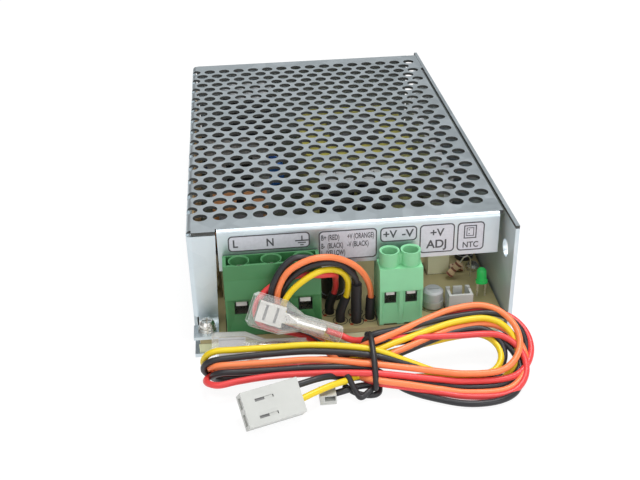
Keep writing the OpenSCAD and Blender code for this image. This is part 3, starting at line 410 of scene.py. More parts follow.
def fuse_body():
    """Ceramic tube between plated caps."""
    finish = Finish("fuse_body")
    _, along, _ = finish.axes()
    low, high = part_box("fuse")
    middle = (low.y + high.y) / 2 / MM
    ceramic = (along - middle).size() < 5
    pale = finish.mix(finish.noise(0.5), (0.66, 0.62, 0.52), (0.80, 0.77, 0.68))
    finish.set("Base_Color", finish.mix(ceramic, (0.72, 0.71, 0.68), pale))
    finish.set("Metallic", 1 - ceramic)
    finish.set("Roughness", finish.spread(finish.noise(1.0), 0.25, 0.45))
    return finish.material


def extruded_aluminium():
    finish = Finish("extruded_aluminium", Metallic=0.4)
    lines = finish.noise(1.2, 2, (1, 1, 0.03))
    finish.set("Base_Color", finish.mix(lines, (0.66, 0.68, 0.70), (0.80, 0.82, 0.84)))
    finish.set("Roughness", finish.spread(lines, 0.35, 0.5))
    finish.bump(lines, 0.02, 0.4)
    return finish.material


def wire_skin(name, colour, rough=0.34):
    """Soft wire insulation with faint ripples and scuffs."""
    finish = Finish(name, Specular_IOR_Level=0.45)
    cloud = finish.noise(0.12, 3)
    scuff = finish.noise(1.4, 3)
    finish.set("Base_Color", finish.mix(cloud, shaded(colour, 0.92), shaded(colour, 1.06)))
    finish.set("Roughness", finish.spread(scuff, rough - 0.05, rough + 0.1))
    finish.bump(finish.noise(0.5, 2), 0.06, 0.25)
    return finish.material


def clear_sleeve(name, place):
    """Clear soft sleeve, made whiter and more opaque at its rounded edges as a painted highlight; in its own
    frame its flat side faces up.
    """
    finish = Finish(name, IOR=1.45, Specular_IOR_Level=1.0)
    milk = finish.noise(0.12, 2)
    finish.set("Base_Color", finish.mix(milk, (0.86, 0.88, 0.87), (0.95, 0.96, 0.95)))
    finish.set("Roughness", finish.spread(milk, 0.08, 0.14))
    flat_way = place.to_3x3() @ Vector((0, 0, 1))
    # Painted highlight: faces turned away from the flat side, at the rounded edges, are made more opaque and
    # so whiter.
    edge = 1 - finish.dot(finish.facing(), tuple(flat_way)).size()
    finish.set("Alpha", 0.06 + 0.06 * milk + 0.7 * edge * edge)
    return finish.material


def ink(name, colour):
    """Printed ink, slightly uneven; the same flat finish also serves for flux stains and for painted shade.
    """
    finish = Finish(name, Roughness=0.6)
    finish.set("Base_Color", finish.mix(finish.noise(1.0, 3), shaded(colour, 0.85), shaded(colour, 1.15)))
    return finish.material


def placed(at, turn):
    """The frame of a piece that was turned about X, Y and Z in degrees and then moved in millimetres."""
    return Matrix.Translation(mm(*at)) @ Euler([math.radians(angle) for angle in turn]).to_matrix().to_4x4()


SPADE_FRAMES = (placed((-31, -86.75, 21.2), (65, 24.5, 0)), placed((-43.2, -84.6, 6.2), (25, 3, 0)))
PLUG_FRAME = placed((-34.4, -115.3, 0.05), (42, 0, 18.3))
FINISHES = {
    "galvanised_steel": galvanised_sheet(),
    "zinc_steel": plated_steel(),
    "tinned_brass": tinned_metal(),
    "board": board_laminate(),
    "insulation_film": insulation_film(),
    "fibre_card": fibre_card(),
    "dark_green_plastic": moulded("dark_green_plastic", (0.056, 0.215, 0.078), 0.38),
    "light_green_plastic": moulded("light_green_plastic", (0.24, 0.61, 0.33), 0.36),
    "white_plastic": moulded("white_plastic", (0.53, 0.54, 0.515), 0.4),
    "grey_plastic": moulded("grey_plastic", (0.55, 0.56, 0.58), 0.45),
    "green_lens": lamp_lens(),
    "resistor_lacquer": banded_lacquer(),
    "cream_plastic": moulded("cream_plastic", (0.90, 0.88, 0.64), 0.35),
    "ferrite": ferrite(),
    "yellow_tape": winding_tape(),
    "black_film": can_film(),
    "copper_wire": copper_coil(),
    "blue_lacquer": moulded("blue_lacquer", (0.07, 0.24, 0.82), 0.22),
    "aluminium": extruded_aluminium(),
    "black_plastic": moulded("black_plastic", (0.02, 0.02, 0.02), 0.45),
    "fuse_ceramic": fuse_body(),
    "red_pvc": wire_skin("red_pvc", (0.76, 0.06, 0.06)),
    "yellow_pvc": wire_skin("yellow_pvc", (0.80, 0.585, 0.013)),
    "orange_pvc": wire_skin("orange_pvc", (0.90, 0.23, 0.08)),
    "black_pvc": wire_skin("black_pvc", (0.022, 0.021, 0.024), 0.38),
    "shrink_sleeve": wire_skin("shrink_sleeve", (0.016, 0.015, 0.017), 0.55),
    "clear_pvc": clear_sleeve("clear_sleeve", SPADE_FRAMES[0]),
}
LEGEND_INK = ink("legend_ink", (0.075, 0.075, 0.085))
LEGEND_GROUND = ink("legend_ground", (0.62, 0.62, 0.68))
BOARD_INK = ink("board_ink", (0.02, 0.02, 0.02))
FLUX_STAIN = ink("flux_stain", (0.42, 0.06, 0.02))
# Painted shade: flat dark grey for the slots of the spade and the plug's windows.
SLOT_SHADE = ink("slot_shade", (0.19, 0.19, 0.19))
SPADE_TIN = spade_tin()
# Painted shade: a darker, dull copy of the spade tin for the lower spade's upper side.
SHADED_SPADE_TIN = ink("shaded_spade_tin", (0.36, 0.36, 0.375))


def dress(piece, slot_name):
    """Gives a piece the finish of a slot."""
    piece.data.materials.clear()
    piece.data.materials.append(FINISHES[slot_name])


def dress_cad_nodes():
    for part in frame["record"]["subparts"]:
        dress(nodes[part["node"]], part["material_slot"])


dress_cad_nodes()
nodes["spade_sleeve_2"].data.materials[0] = clear_sleeve("clear_sleeve_low", SPADE_FRAMES[1])


# Small shapes that only show in the looks


def add_object(name, data, place=Matrix()):
    """A piece of the case, at its place."""
    piece = bpy.data.objects.new(name, data)
    piece.matrix_world = place
    bpy.context.scene.collection.objects.link(piece)
    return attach(piece, CASE)


def bar(x0, y0, x1, y1):
    """Corners of a rectangle."""
    return [(x0, y0), (x1, y0), (x1, y1), (x0, y1)]


BOX_SIDES = ((3, 2, 1, 0), (4, 5, 6, 7), (0, 1, 5, 4), (1, 2, 6, 5), (2, 3, 7, 6), (3, 0, 4, 7))


def blocks(name, boxes, place, finish):
    """Boxes in the frame of a piece, each from its low to its high corner in millimetres."""
    corners, faces = [], []
    for low, high in boxes:
        first = len(corners)
        for z in (low[2], high[2]):
            corners += [mm(x, y, z) for x, y in bar(low[0], low[1], high[0], high[1])]
        faces += [[first + corner for corner in side] for side in BOX_SIDES]
    data = bpy.data.meshes.new(name)
    data.from_pydata(corners, [], faces)
    data.materials.append(finish)
    return add_object(name, data, place)


# Upper side of a spade in its own frame: a plate, its rolled edges and its slots
PLATE_ENDS = (2, 10)
PLATE_HALF = 3.05
PLATE_HEIGHTS = (0.84, 0.92)
ROLL_Y = 2.75
ROLL_HALF = 0.35
ROLL_TOP = 1.2
SLOT_X = (4.4, 7.7)
SLOT_HALVES = (0.4, 2.3)
SLOT_HEIGHTS = (0.9, 0.95)


def add_spade_face(name, place, finish):
    """The folded upper side of a spade: a plate with rolled edges."""
    start, stop = PLATE_ENDS
    under, top = PLATE_HEIGHTS
    boxes = [((start, -PLATE_HALF, under), (stop, PLATE_HALF, top))]
    boxes += [((start, y - ROLL_HALF, under), (stop, y + ROLL_HALF, ROLL_TOP)) for y in (-ROLL_Y, ROLL_Y)]
    return [blocks(name, boxes, place, finish)]


def add_spade_slots():
    """Painted shade in the two slots across the upper side of the first spade: thin dark boxes."""
    half_x, half_y = SLOT_HALVES
    under, top = SLOT_HEIGHTS
    boxes = [((x - half_x, -half_y, under), (x + half_x, half_y, top)) for x in SLOT_X]
    return [blocks("spade_slots", boxes, SPADE_FRAMES[0], SLOT_SHADE)]


# Tongue tips: their middles along X and half width, in the mains block and in the output block
GUARD_FRAME = placed((0, -77.5, 16), (-22, 0, 0))
GUARD_TIPS = (((-33.6, -24.1, -14.6), 1.6), ((11.025, 17.375), 1.3))
GUARD_THICK = 0.15
GUARD_HEIGHT = 2.1


def add_wire_guards():
    """The bent tips of the tongues that show in the terminals' wire holes."""
    boxes = []
    for middles, half in GUARD_TIPS:
        boxes += [((x - half, 0, 0), (x + half, GUARD_THICK, GUARD_HEIGHT)) for x in middles]
    blocks("wire_guards", boxes, GUARD_FRAME, SPADE_TIN)


# The plug's two windows in its own frame: their middle lines, floor and ends, and what fills them
WINDOW_ROWS = (2.55, 7.25)
WINDOW_FLOOR = 4.1
WINDOW_ENDS = (3.35, 8.85)
WINDOW_HALF = 0.95
LATCH_ENDS = (6.2, 8.55)
LATCH_EDGE = -0.1
FILLING_TOP = 5.49
LATCH_TOP = 5.3
SHADE_TOP = 5.1
SHADE_INSET = 0.05


def add_plug_latches():
    """What shows in the plug's two windows: the narrow slot, its sprung latch and the shade behind it."""
    filling, shade = [], []
    start, stop = WINDOW_ENDS
    latch_start, latch_stop = LATCH_ENDS
    for row in WINDOW_ROWS:
        low, edge, high = row - WINDOW_HALF, row + LATCH_EDGE, row + WINDOW_HALF
        filling.append(((start, edge, WINDOW_FLOOR), (stop, high, FILLING_TOP)))
        filling.append(((latch_start, low, WINDOW_FLOOR), (latch_stop, edge, LATCH_TOP)))
        shade.append(((start + SHADE_INSET, low + SHADE_INSET, WINDOW_FLOOR), (latch_start, edge, SHADE_TOP)))
    return [blocks("plug_latches", filling, PLUG_FRAME, FINISHES["white_plastic"]),
            blocks("plug_slots", shade, PLUG_FRAME, SLOT_SHADE)]


# Wires: lines through chosen points


LINE_STEPS = 8


def smooth_line(points):
    """Points along a curve that passes evenly through the given points."""
    ends = [2 * points[0] - points[1], *points, 2 * points[-1] - points[-2]]
    line = []
    for before, start, stop, after in zip(ends, ends[1:], ends[2:], ends[3:]):
        knots = [0.0]
        for a, b in ((before, start), (start, stop), (stop, after)):
            knots.append(knots[-1] + max((b - a).length, 1e-7) ** 0.5)
        t0, t1, t2, t3 = knots
        for step in range(LINE_STEPS):
            t = t1 + (t2 - t1) * step / LINE_STEPS
            a1 = before.lerp(start, (t - t0) / (t1 - t0))
            a2 = start.lerp(stop, (t - t1) / (t2 - t1))
            a3 = stop.lerp(after, (t - t2) / (t3 - t2))
            b1 = a1.lerp(a2, (t - t0) / (t2 - t0))
            b2 = a2.lerp(a3, (t - t1) / (t3 - t1))
            line.append(b1.lerp(b2, (t - t1) / (t2 - t1)))
    line.append(points[-1].copy())
    return line


def tube(name, points, diameter, slot_name):
    """A round tube along points in millimetres."""
    line = smooth_line([mm(*p) for p in points])
    data = bpy.data.curves.new(name, "CURVE")
    data.dimensions = "3D"
    data.bevel_depth = diameter / 2
    data.bevel_resolution = 4
    data.use_fill_caps = True
    spline = data.splines.new("POLY")
    spline.points.add(len(line) - 1)
    for point, place in zip(spline.points, line):
        point.co = (*place, 1)
        point.radius = MM
    spline.use_smooth = True
    piece = add_object(name, data)
    dress(piece, slot_name)
    return piece, sum((b - a).length for a, b in zip(line, line[1:]))


WIRE_D = 1.9
SLEEVE_D = 2.9
WIDE_SLEEVE_D = 3.25
HANK_FOOT_Y = -103.8
HANK_FOOT_Z = 0.8
HANK_TILT = math.radians(30)
TIE_X = 2.8
FLOOR_REST = WIRE_D / 2 + 0.2
LOOP_X = (11, 20, 28)
LOOP_SHARE = (0.3, 0.65, 0.92)
LOOP_ANGLES = (80, 50, 20, -10, -40, -70)
LANE_OFF = 3.2
LANE_X = (-14, -26, -36)
LANE_EASE = 0.4
FOLD_ANGLES = (75, 45, 15, -15, -45, -75)
FLOOR_RUN = ((-33, 0), (-22, 0.1), (-12, 1))


def on_slope(x, up, off):
    """A point of the hank: along X, up its slope and off its lower face, never below the floor."""
    y = HANK_FOOT_Y + up * math.cos(HANK_TILT) - off * math.sin(HANK_TILT)
    z = HANK_FOOT_Z + up * math.sin(HANK_TILT) + off * math.cos(HANK_TILT)
    return (x, y, max(z, FLOOR_REST))


def between(one, other, share):
    """A place part of the way from one to the other."""
    return [a + (b - a) * share for a, b in zip(one, other)]


def loop_right(start, out, end_x, back, last, way_back=None):
    """One turn of the right loop: from a place at the tie along one strand, round, and back to the tie."""
    middle = between(out, back, 0.5)
    half = (out[0] - back[0]) / 2
    centre_x = end_x - abs(half)
    points = [on_slope(x, *between(start, out, share)) for x, share in zip(LOOP_X, LOOP_SHARE)]
    for angle in LOOP_ANGLES:
        turn = math.radians(angle)
        off = middle[1] + (out[1] - back[1]) / 2 * math.sin(turn)
        points.append(on_slope(centre_x + abs(half) * math.cos(turn), middle[0] + half * math.sin(turn), off))
    places = way_back or [between(last, back, share) for share in reversed(LOOP_SHARE)]
    points += [on_slope(x, *place) for x, place in zip(reversed(LOOP_X), places)]
    return points


def fold_left(lane, turn_up, floor, end_x):
    """The run to the hank's left end, half a turn there, and the run back on the floor behind."""
    _, top_y, top_z = on_slope(0, turn_up, LANE_OFF)
    floor_y, floor_z = floor
    radius = math.hypot(top_y - floor_y, top_z - floor_z) / 2
    lanes = ((lane - LANE_EASE, LANE_OFF + LANE_EASE), (lane, LANE_OFF), ((lane + turn_up) / 2, LANE_OFF))
    points = [on_slope(x, *place) for x, place in zip(LANE_X, lanes)]
    for angle in FOLD_ANGLES:
        turn = math.radians(angle)
        share = (1 - math.sin(turn)) / 2
        y, z = between((top_y, top_z), floor, share)
        points.append((end_x + radius * (1 - math.cos(turn)), y, z))
    return points + [(x, floor_y, floor_z + rise) for x, rise in FLOOR_RUN]


# Each wire: pad and arch; four places at the tie; two turns of the right loop, each with the place going out,
# how far right it reaches and the place coming back; the left fold; and the tail. Places at the tie and on
# the loop are given up the hank's slope and off its lower face.
WIRES = {
    "orange": {
        "slot": "orange_pvc",
        "arch": [(5.4, -74, 6), (5.4, -74, 9), (5.6, -74.4, 13.9), (5.1, -75.2, 18.1), (3.3, -76.4, 23),
                 (0.5, -77.6, 27), (-3.4, -78.8, 30.2), (-7.5, -79.9, 32.1), (-12.3, -80.6, 32.3),
                 (-16.8, -81, 30.8), (-19.9, -81.2, 28.5), (-22, -81.4, 24.9), (-23, -81.5, 21.6),
                 (-23, -81.7, 18), (-21.6, -82.2, 13.4), (-15, -82, 9.3), (-11, -81.8, 6), (-7, -83, 3.8),
                 (-3.6, -86.4, 3.6)],
        "ties": [(13.4, 4.5), (6.6, 4.5), (8.4, 2.7), (1.9, 4.3)],
        "loops": [((23.4, 3.2), 46.0, (1.2, 4.4)), ((17.8, 1.8), 47.0, (-3.9, 2.8))],
        "left": (10.2, 10.4, (-90.3, 2.7), -43.7),
        "tail": [(-3, -99, 4.2), (-7, -93.6, 5.4), (-10.4, -89, 6.2), (-12.4, -86, 5.2), (-15.4, -84.7, 4.75),
                 (-19, -84.6, 4.95)],
        "replaces": ["wire_orange", "wire_hank"],
        "with": ["spade_2", "spade_sleeve_2"],
        "far_end": "connector",
    },
    "red": {
        "slot": "red_pvc",
        "arch": [(-6.6, -69.6, 6), (-6.6, -69.6, 9), (-5.2, -70, 13.4), (-4.8, -71, 16.6), (-5, -73, 20.4),
                 (-5.4, -75.8, 23.4), (-7.2, -78.2, 25.2), (-10, -79.4, 25.9), (-13.4, -79.5, 26.3),
                 (-17.2, -79.3, 26.2), (-22, -79.2, 24.6), (-25.6, -79.4, 22.4), (-28.3, -79.9, 19.6),
                 (-29.6, -80.4, 16.4), (-29.2, -80.7, 12.8), (-27, -80.8, 9.9), (-21.6, -80.5, 7.9),
                 (-15, -80.5, 5.2), (-11, -80.9, 2), (-7, -82.6, 1.2), (-3, -85.6, 1.3), (0, -88, 3.4)],
        "ties": [(15.4, 0.95), (3.8, 4.5), (1.9, 2.5), (15.4, 2.7)],
        "loops": [((22.2, 1.2), 49.4, (-0.3, 2.6)), ((-5.3, 3.2), 46.5, (14.2, 2.6))],
        "left": (6.0, 4.4, (-92.2, 2.7), -45.0),
        "tail": [(0.4, -90.8, 9.8), (-2.2, -88.9, 8.8), (-5.2, -87, 9.4), (-9.3, -86.75, 11.35)],
        "replaces": ["wire_red"],
        "with": ["spade_1", "spade_sleeve_1"],
        "far_end": "connector",
    },
    "black_1": {
        "slot": "black_pvc",
        "arch": [(1.4, -70.4, 6), (1.4, -70.4, 9), (1.4, -71.4, 15), (0.4, -73, 22), (-1.6, -75.4, 27),
                 (-5.6, -77.2, 30), (-12.3, -78.5, 31.3), (-17.5, -79.2, 32.1), (-21.1, -80, 29.6),
                 (-23.8, -81.1, 25.6), (-24.8, -81.3, 22), (-25, -81.5, 17.6), (-23.4, -81.2, 10.8),
                 (-15, -80.7, 7.5), (-11, -80.4, 4.2), (-7, -81, 2.5), (-2.6, -84.2, 2.6),
                 (-0.6, -88.6, 4.8)],
        "ties": [(15.5, 4.4), (9.3, 4.5), (13.6, 2.7), (3.7, 2.7)],
        "loops": [((20.8, 2.6), 48.2, (1.0, 0.7)), ((18.6, 0.9), 46.0, (-1.8, 1.6))],
        "left": (12.8, 12.2, (-91.2, 1.2), -45.6),
        "tail": [(-5.6, -100, 3.6), (-9.8, -102.2, 6.4), (-14, -104.2, 7.4), (-17.4, -105.4, 7.4),
                 (-20, -106.3, 7.35), (-22.85, -107.3, 7.35)],
        "replaces": ["wire_black_1"],
        "with": [],
        "far_end": "object",
    },
    "black_2": {
        "slot": "black_pvc",
        "arch": [(1, -75.4, 6), (1, -75.4, 12), (1, -76.1, 20), (0.4, -76.7, 22.8), (-1.2, -77.6, 25.4),
                 (-4.4, -78.9, 28.8), (-7.9, -80, 30.3), (-12.4, -80.4, 30), (-16.3, -80.5, 28.2),
                 (-19.4, -80.2, 25.2), (-21.4, -80.1, 21.6), (-21.8, -80.1, 18), (-20.2, -80.3, 14.6),
                 (-15, -81.2, 11.2), (-11, -82.1, 8.2), (-7.4, -84.3, 5.5), (-5, -88, 5.2)],
        "ties": [(13.6, 0.95), (5.6, 2.7), (8.2, 0.9), (1.9, 0.95)],
        "loops": [((16.2, 1.0), 45.0, (-9.2, 2.2)), ((16.6, 1.7), 41.4, (1.6, 0.95))],
        "way_back": [(-7.6, 4.55), (-5.1, 3.1), (-0.3, 1.1)],
        "left": (7.8, 8.2, (-93.1, 1.2), -43.1),
        "tail": [(-2, -102.6, 2.4), (-5.6, -103.6, 2.2), (-9.6, -104.4, 1.8)],
        "replaces": ["wire_black_2"],
        "with": ["tail_plug"],
        "far_end": "plug",
    },
    "yellow": {
        "slot": "yellow_pvc",
        "arch": [(-3.8, -74.4, 6), (-3.8, -74.4, 9), (-2, -74.6, 14.7), (-1.5, -75.3, 18.2),
                 (-1.7, -76.1, 21.4), (-3.2, -77.3, 24.8), (-6.9, -79.3, 27.5), (-10.9, -81, 28),
                 (-15.3, -82, 26), (-18.7, -82.4, 23.2), (-21, -82.7, 19.8), (-21.5, -82.7, 16.4),
                 (-20.2, -82.7, 13.4), (-17.6, -82.6, 11.9), (-14.4, -82.6, 11.2), (-11.2, -83.2, 9.6),
                 (-8.6, -86, 7), (-7, -89, 6.6)],
        "ties": [(11.7, 2.7), (11.2, 4.5), (10.4, 0.95), (3.8, 0.95)],
        "loops": [((19.0, 3.2), 45.2, (0.2, 0.8)), ((15.4, 0.3), 40.3, (1.9, 2.4))],
        "left": (14.8, 15.0, (-89.3, 1.2), -45.6),
        "tail": [(-1.4, -100.8, 4.6), (-5.6, -102.9, 5), (-10.4, -105.2, 5.4), (-14.8, -107.5, 5.4),
                 (-18.9, -109.6, 5.2), (-21.7, -110.5, 5.1)],
        "replaces": ["wire_yellow"],
        "with": ["plug_housing", "plug_contacts"],
        "far_end": "plug",
    },
}


def wire_route(wire):
    """Points of a whole wire, in millimetres."""
    first, second, third, fourth = wire["ties"]
    loop_a, loop_b = wire["loops"]
    points = list(wire["arch"])
    points.append(on_slope(TIE_X, *first))
    points += loop_right(first, *loop_a, second, wire.get("way_back"))
    points.append(on_slope(TIE_X, *second))
    points += fold_left(*wire["left"])
    points.append(on_slope(TIE_X, *third))
    points += loop_right(third, *loop_b, fourth)
    points.append(on_slope(TIE_X, *fourth))
    points += wire["tail"]
    return points


def add_wires():
    made = {}
    for colour, wire in WIRES.items():
        piece, length = tube("harness_" + colour, wire_route(wire), WIRE_D, wire["slot"])
        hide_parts(*wire["replaces"])
        made[colour] = (piece, round(length, 3))
    return made


TIE_D = 1.7
TIE_MIDDLE = (8.5, 2.7)
TIE_HALF = (8.4, 3.6)
TIE_SHIFT = -0.3
TIE_SLANT = 0.002
TIE_ANGLES = range(180, -181, -30)
TIE_TAIL = [(3.9, -103.4, 1.2), (2.8, -105, 1.0), (0.2, -105.2, 1.0), (-3.2, -103.8, 1.2), (-6, -101, 1.8)]
TIE_END = [(3.2, -102.6, 2.6), (0.6, -105.2, 2.4), (-2, -106.6, 1.6), (-3.4, -105, 3.2), (-5.2, -102.2, 6.6)]


def add_tie():
    """A twist tie: once round the hank, then its two short ends on the floor."""
    ring = []
    for angle in TIE_ANGLES:
        turn = math.radians(angle)
        up = TIE_MIDDLE[0] - TIE_HALF[0] * math.cos(turn)
        off = TIE_MIDDLE[1] + TIE_HALF[1] * math.sin(turn)
        ring.append(on_slope(TIE_X + TIE_SHIFT + angle * TIE_SLANT, up, off))
    piece, _ = tube("twist_tie", ring + TIE_TAIL, TIE_D, "black_pvc")
    end, _ = tube("twist_tie_end", TIE_END, TIE_D, "black_pvc")
    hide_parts("hank_tie")
    return [piece, end]


def declare_cords(extras):
    for colour, wire in WIRES.items():
        on_it = [nodes[name] for name in wire["with"]] + extras.get(colour, [])


add_wire_guards()
wires = add_wires()
on_cords = {
    "orange": add_tie() + add_spade_face("spade_face_low", SPADE_FRAMES[1], SHADED_SPADE_TIN),
    "red": add_spade_face("spade_face", SPADE_FRAMES[0], SPADE_TIN) + add_spade_slots(),
    "yellow": add_plug_latches(),
}
declare_cords(on_cords)


def add_shrink_sleeves():
    """Shrink sleeves over the soldered ends of the wires, one of them wider."""
    for colour, wire in WIRES.items():
        diameter = WIDE_SLEEVE_D if colour == "black_2" else SLEEVE_D
        piece, _ = tube("shrink_" + colour, wire["arch"][:3], diameter, "shrink_sleeve")
    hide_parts("wire_sleeves")


add_shrink_sleeves()


# Print: flat outlines and letters
PRINT_THICK = 0.03
PRINT_LINE = 0.22
CIRCLE_POINTS = 28
CAPITAL_SHARE = 0.70
INK_SPREAD = 0.03
FACING_FRONT = Matrix.Rotation(math.radians(90), 4, "X")
LIP_FRONT = -70.9
LEGEND_BACK = Matrix.Translation(mm(0, LIP_FRONT - PRINT_THICK, 0)) @ FACING_FRONT
LEGEND_FACE = Matrix.Translation(mm(0, LIP_FRONT - 2 * PRINT_THICK, 0)) @ FACING_FRONT
BOARD_FACE = Matrix.Translation(mm(0, 0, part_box("pcb")[1].z / MM + PRINT_THICK))


def flat_outline(name, rings, place, finish):
    """A thin printed shape from closed rings of points in millimetres."""
    data = bpy.data.curves.new(name, "CURVE")
    data.dimensions = "2D"
    data.fill_mode = "BOTH"
    data.extrude = PRINT_THICK / 2
    for ring in rings:
        spline = data.splines.new("POLY")
        spline.points.add(len(ring) - 1)
        for point, (x, y) in zip(spline.points, ring):
            point.co = (x * MM, y * MM, 0, 1)
            point.radius = MM
        spline.use_cyclic_u = True
    data.materials.append(finish)
    return add_object(name, data, place)


def rounded_box(x0, z0, x1, z1, radius):
    """Corners of a rounded rectangle."""
    ring = []
    for cx, cz, start in ((x1, z1, 0), (x0, z1, 90), (x0, z0, 180), (x1, z0, 270)):
        middle_x = cx - radius if cx == x1 else cx + radius
        middle_z = cz - radius if cz == z1 else cz + radius
        for step in range(7):
            turn = math.radians(start + 15 * step)
            ring.append((middle_x + radius * math.cos(turn), middle_z + radius * math.sin(turn)))
    return ring


def circle_ring(x, y, radius):
    turns = [2 * math.pi * i / CIRCLE_POINTS for i in range(CIRCLE_POINTS)]
    return [(x + radius * math.cos(turn), y + radius * math.sin(turn)) for turn in turns]


def letters(name, words, x, z, height, width):
    """Words of the legend: their left end, middle height, letter height and whole width in millimetres."""
    data = bpy.data.curves.new(name, "FONT")
    data.body = words
    data.size = height / CAPITAL_SHARE * MM
    data.align_y = "CENTER"
    data.offset = INK_SPREAD * height * MM
    data.extrude = PRINT_THICK / 2 * MM
    data.materials.append(LEGEND_INK)
    piece = bpy.data.objects.new(name, data)
    bpy.context.scene.collection.objects.link(piece)
    bpy.context.view_layer.update()
    stretch = width * MM / piece.dimensions.x
    piece.matrix_world = Matrix.Translation(mm(x, 0, z)) @ LEGEND_FACE @ Matrix.Diagonal((stretch, 1, 1, 1))
    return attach(piece, CASE)


FRAME_LINE = 0.38
FRAME_RADIUS = 1.3
FRAME_INNER_RADIUS = 1.0
LEGEND_FRAMES = {
    "mains": (-36.4, 30.75, -12.2, 36.05),
    "wire_key": (-9.6, 25.8, 7.85, 35.75),
    "output": (8.8, 30.65, 19.95, 35.6),
    "adjust": (20.75, 25.9, 31.4, 35.6),
    "sensor": (32.2, 25.9, 40.5, 35.55),
}
LEGEND_WORDS = {
    "live": ("L", -35.1, 33.3, 2.5, 1.5),
    "neutral": ("N", -25.2, 33.15, 2.5, 2.1),
    "plus": ("+V", 9.6, 33.1, 2.5, 4.2),
    "minus": ("-V", 15.3, 33.1, 2.5, 3.6),
    "adjust_plus": ("+V", 23.9, 32.6, 2.5, 4.2),
    "adjust": ("ADJ", 22.9, 28.7, 2.7, 6.2),
    "sensor": ("NTC", 33.9, 27.75, 1.9, 4.8),
    "key_plus": ("B+ (RED)", -8.9, 33.4, 1.75, 5.4),
    "key_minus": ("B-  (BLACK)", -8.9, 30.6, 1.75, 6.5),
    "key_live": ("L  (YELLOW)", -8.9, 28.1, 1.75, 7.1),
    "key_out_plus": ("+V (ORANGE)", -1.1, 33.4, 1.75, 8.0),
    "key_out_minus": ("-V (BLACK)", -1.1, 30.7, 1.75, 6.4),
}
LEGEND_MARKS = {
    "earth": [bar(-14.75, 33.4, -14.35, 34.8), bar(-16.6, 33.0, -12.6, 33.4), bar(-15.8, 32.3, -13.4, 32.65),
              bar(-15.1, 31.55, -14.1, 31.9)],
    "plug_mark": [bar(34.2, 30.0, 38.1, 34.5), bar(34.55, 30.35, 37.75, 34.15)],
    "plug_mark_inner": [bar(35.0, 30.8, 37.3, 33.7), bar(35.25, 31.05, 37.05, 33.45)],
    "plug_dots": [circle_ring(35.8, 31.6, 0.22), circle_ring(35.8, 32.9, 0.22)],
}


def add_lip_legend():
    """Frames, words and marks of the legend on the lip."""
    for name, (x0, z0, x1, z1) in LEGEND_FRAMES.items():
        outer = rounded_box(x0, z0, x1, z1, FRAME_RADIUS)
        rim = FRAME_LINE
        inner = rounded_box(x0 + rim, z0 + rim, x1 - rim, z1 - rim, FRAME_INNER_RADIUS)
        flat_outline("legend_ground_" + name, [outer], LEGEND_BACK, LEGEND_GROUND)
        flat_outline("legend_frame_" + name, [outer, inner], LEGEND_FACE, LEGEND_INK)
    for name, line in LEGEND_WORDS.items():
        letters("legend_" + name, *line)
    for name, rings in LEGEND_MARKS.items():
        flat_outline("legend_" + name, rings, LEGEND_FACE, LEGEND_INK)


PAD_RING = (2.35, 2.1)
TRIMMER_RING = (4.0, 3.75)
FLUX_FROM_PAD = (-1.6, -1.5)
FLUX_RADIUS = 0.55
OUTLINE_GAP = 0.5
OUTLINE_FRONT_GAP = 0.1
BOARD_MARGIN = 0.3


def add_board_print():
    """Rings round the wire pads, flux beside them, and outlines of parts."""
    for colour, wire in WIRES.items():
        x, y, _ = wire["arch"][0]
        rings = [circle_ring(x, y, radius) for radius in PAD_RING]
        flat_outline("pad_ring_" + colour, rings, BOARD_FACE, BOARD_INK)
        stain = circle_ring(x + FLUX_FROM_PAD[0], y + FLUX_FROM_PAD[1], FLUX_RADIUS)
        flat_outline("flux_" + colour, [stain], BOARD_FACE, FLUX_STAIN)
    low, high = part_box("trimmer_base")
    x, y = (low.x + high.x) / 2 / MM, (low.y + high.y) / 2 / MM
    rings = [circle_ring(x, y, radius) for radius in TRIMMER_RING]
    flat_outline("trimmer_ring", rings, BOARD_FACE, BOARD_INK)
    board_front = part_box("pcb")[0].y / MM + BOARD_MARGIN
    for name in ("ntc_header", "dc_housing", "ac_housing", "film_capacitor"):
        low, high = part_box(name)
        x0, x1 = low.x / MM - OUTLINE_GAP, high.x / MM + OUTLINE_GAP
        y0, y1 = max(low.y / MM - OUTLINE_FRONT_GAP, board_front), high.y / MM + OUTLINE_GAP
        inner = bar(x0 + PRINT_LINE, y0 + PRINT_LINE, x1 - PRINT_LINE, y1 - PRINT_LINE)
        flat_outline("outline_" + name, [bar(x0, y0, x1, y1), inner], BOARD_FACE, BOARD_INK)


add_lip_legend()
add_board_print()


# Floor, world and lights
FLOOR_REACH = 3.0
FLOOR_DROP = 0.0002
FLOOR_COLOUR = (0.93, 0.93, 0.93)
FLOOR_GLOW = 1.06
FLOOR_GLOW_SHARE = 0.86
ROOM_FROM, ROOM_TO = -0.5, 0.8
ROOM_FRONT_LIGHT, ROOM_BACK_LIGHT = 0.5, 0.17


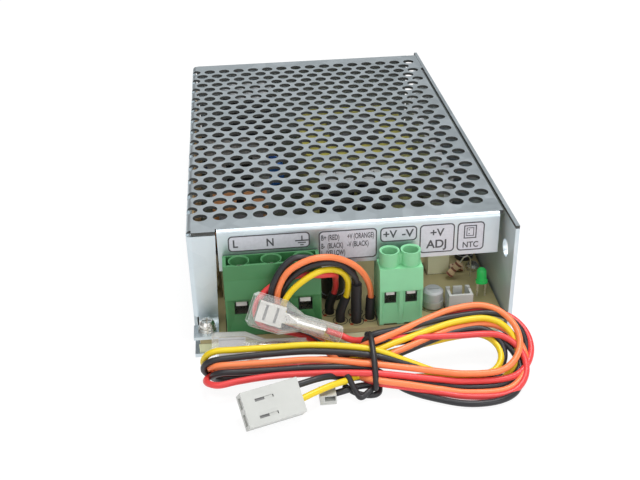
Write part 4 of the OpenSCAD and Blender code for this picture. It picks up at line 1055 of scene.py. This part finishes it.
def add_floor():
    """A floor that looks plain white and still takes soft shadows."""
    data = bpy.data.meshes.new("floor")
    corners = [(x, y, 0) for x, y in bar(-FLOOR_REACH, -FLOOR_REACH, FLOOR_REACH, FLOOR_REACH)]
    data.from_pydata(corners, [], [(0, 1, 2, 3)])
    floor = bpy.data.objects.new("floor", data)
    floor.location.z = -FLOOR_DROP
    bpy.context.scene.collection.objects.link(floor)
    finish = Finish("floor_white", Roughness=0.9, Base_Color=FLOOR_COLOUR)
    seen = finish.node("ShaderNodeLightPath", out="Is Camera Ray")
    for kind in ("Is Glossy Ray", "Is Transmission Ray"):
        seen = seen.most(finish.node("ShaderNodeLightPath", out=kind))
    glow = finish.node("ShaderNodeEmission", None, Strength=FLOOR_GLOW)
    lit = Value(finish, finish.shader.outputs[0])
    blend = finish.node("ShaderNodeMixShader", None, seen * FLOOR_GLOW_SHARE, lit, glow)
    finish.links.new(blend.socket, finish.nodes["Material Output"].inputs[0])
    data.materials.append(finish.material)


def add_world():
    """White where the camera sees it; as light, a room that is brighter in front than behind."""
    world = bpy.data.worlds.new("studio")
    bpy.context.scene.world = world
    world.use_nodes = True
    studio = Tree(world.node_tree)
    seen = studio.node("ShaderNodeLightPath", out="Is Camera Ray")
    seen = seen.most(studio.node("ShaderNodeLightPath", out="Is Transmission Ray"))
    way = studio.node("ShaderNodeTexCoord", out="Generated")
    back = studio.node("ShaderNodeSeparateXYZ", None, way, out="Y")
    lights = (ROOM_FRONT_LIGHT, ROOM_BACK_LIGHT)
    room = studio.node("ShaderNodeMapRange", None, back, ROOM_FROM, ROOM_TO, *lights)
    strength = studio.node("ShaderNodeMapRange", None, seen, 0, 1, room, 1)
    ground = studio.nodes["Background"]
    studio.fill(ground.inputs["Color"], (1, 1, 1))
    studio.fill(ground.inputs["Strength"], strength)


def add_lamp(name, place, target, size, power):
    data = bpy.data.lights.new(name, "AREA")
    data.shape = "DISK"
    data.size = size
    data.energy = power
    lamp = bpy.data.objects.new(name, data)
    lamp.location = place
    lamp.rotation_euler = (Vector(target) - Vector(place)).to_track_quat("-Z", "Y").to_euler()
    bpy.context.scene.collection.objects.link(lamp)


# Each lamp: where it stands, what it points at, its width in metres and its power
LAMPS = {
    "key": ((-0.35, -0.55, 0.75), (0, -0.05, 0.02), 0.5, 1.6),
    "fill": ((0.35, -0.75, 0.35), (0, -0.05, 0.02), 0.5, 1.6),
    "back": ((0, 1.0, 0.58), (0, 0, 0.02), 0.6, 0.32),
    "above": ((0.2, 0.0, 0.95), (0, 0.02, 0.02), 0.5, 7.0),
}

add_floor()
add_world()
for lamp_name, lamp in LAMPS.items():
    add_lamp(lamp_name, *lamp)
bpy.context.scene.view_settings.view_transform = "Standard"
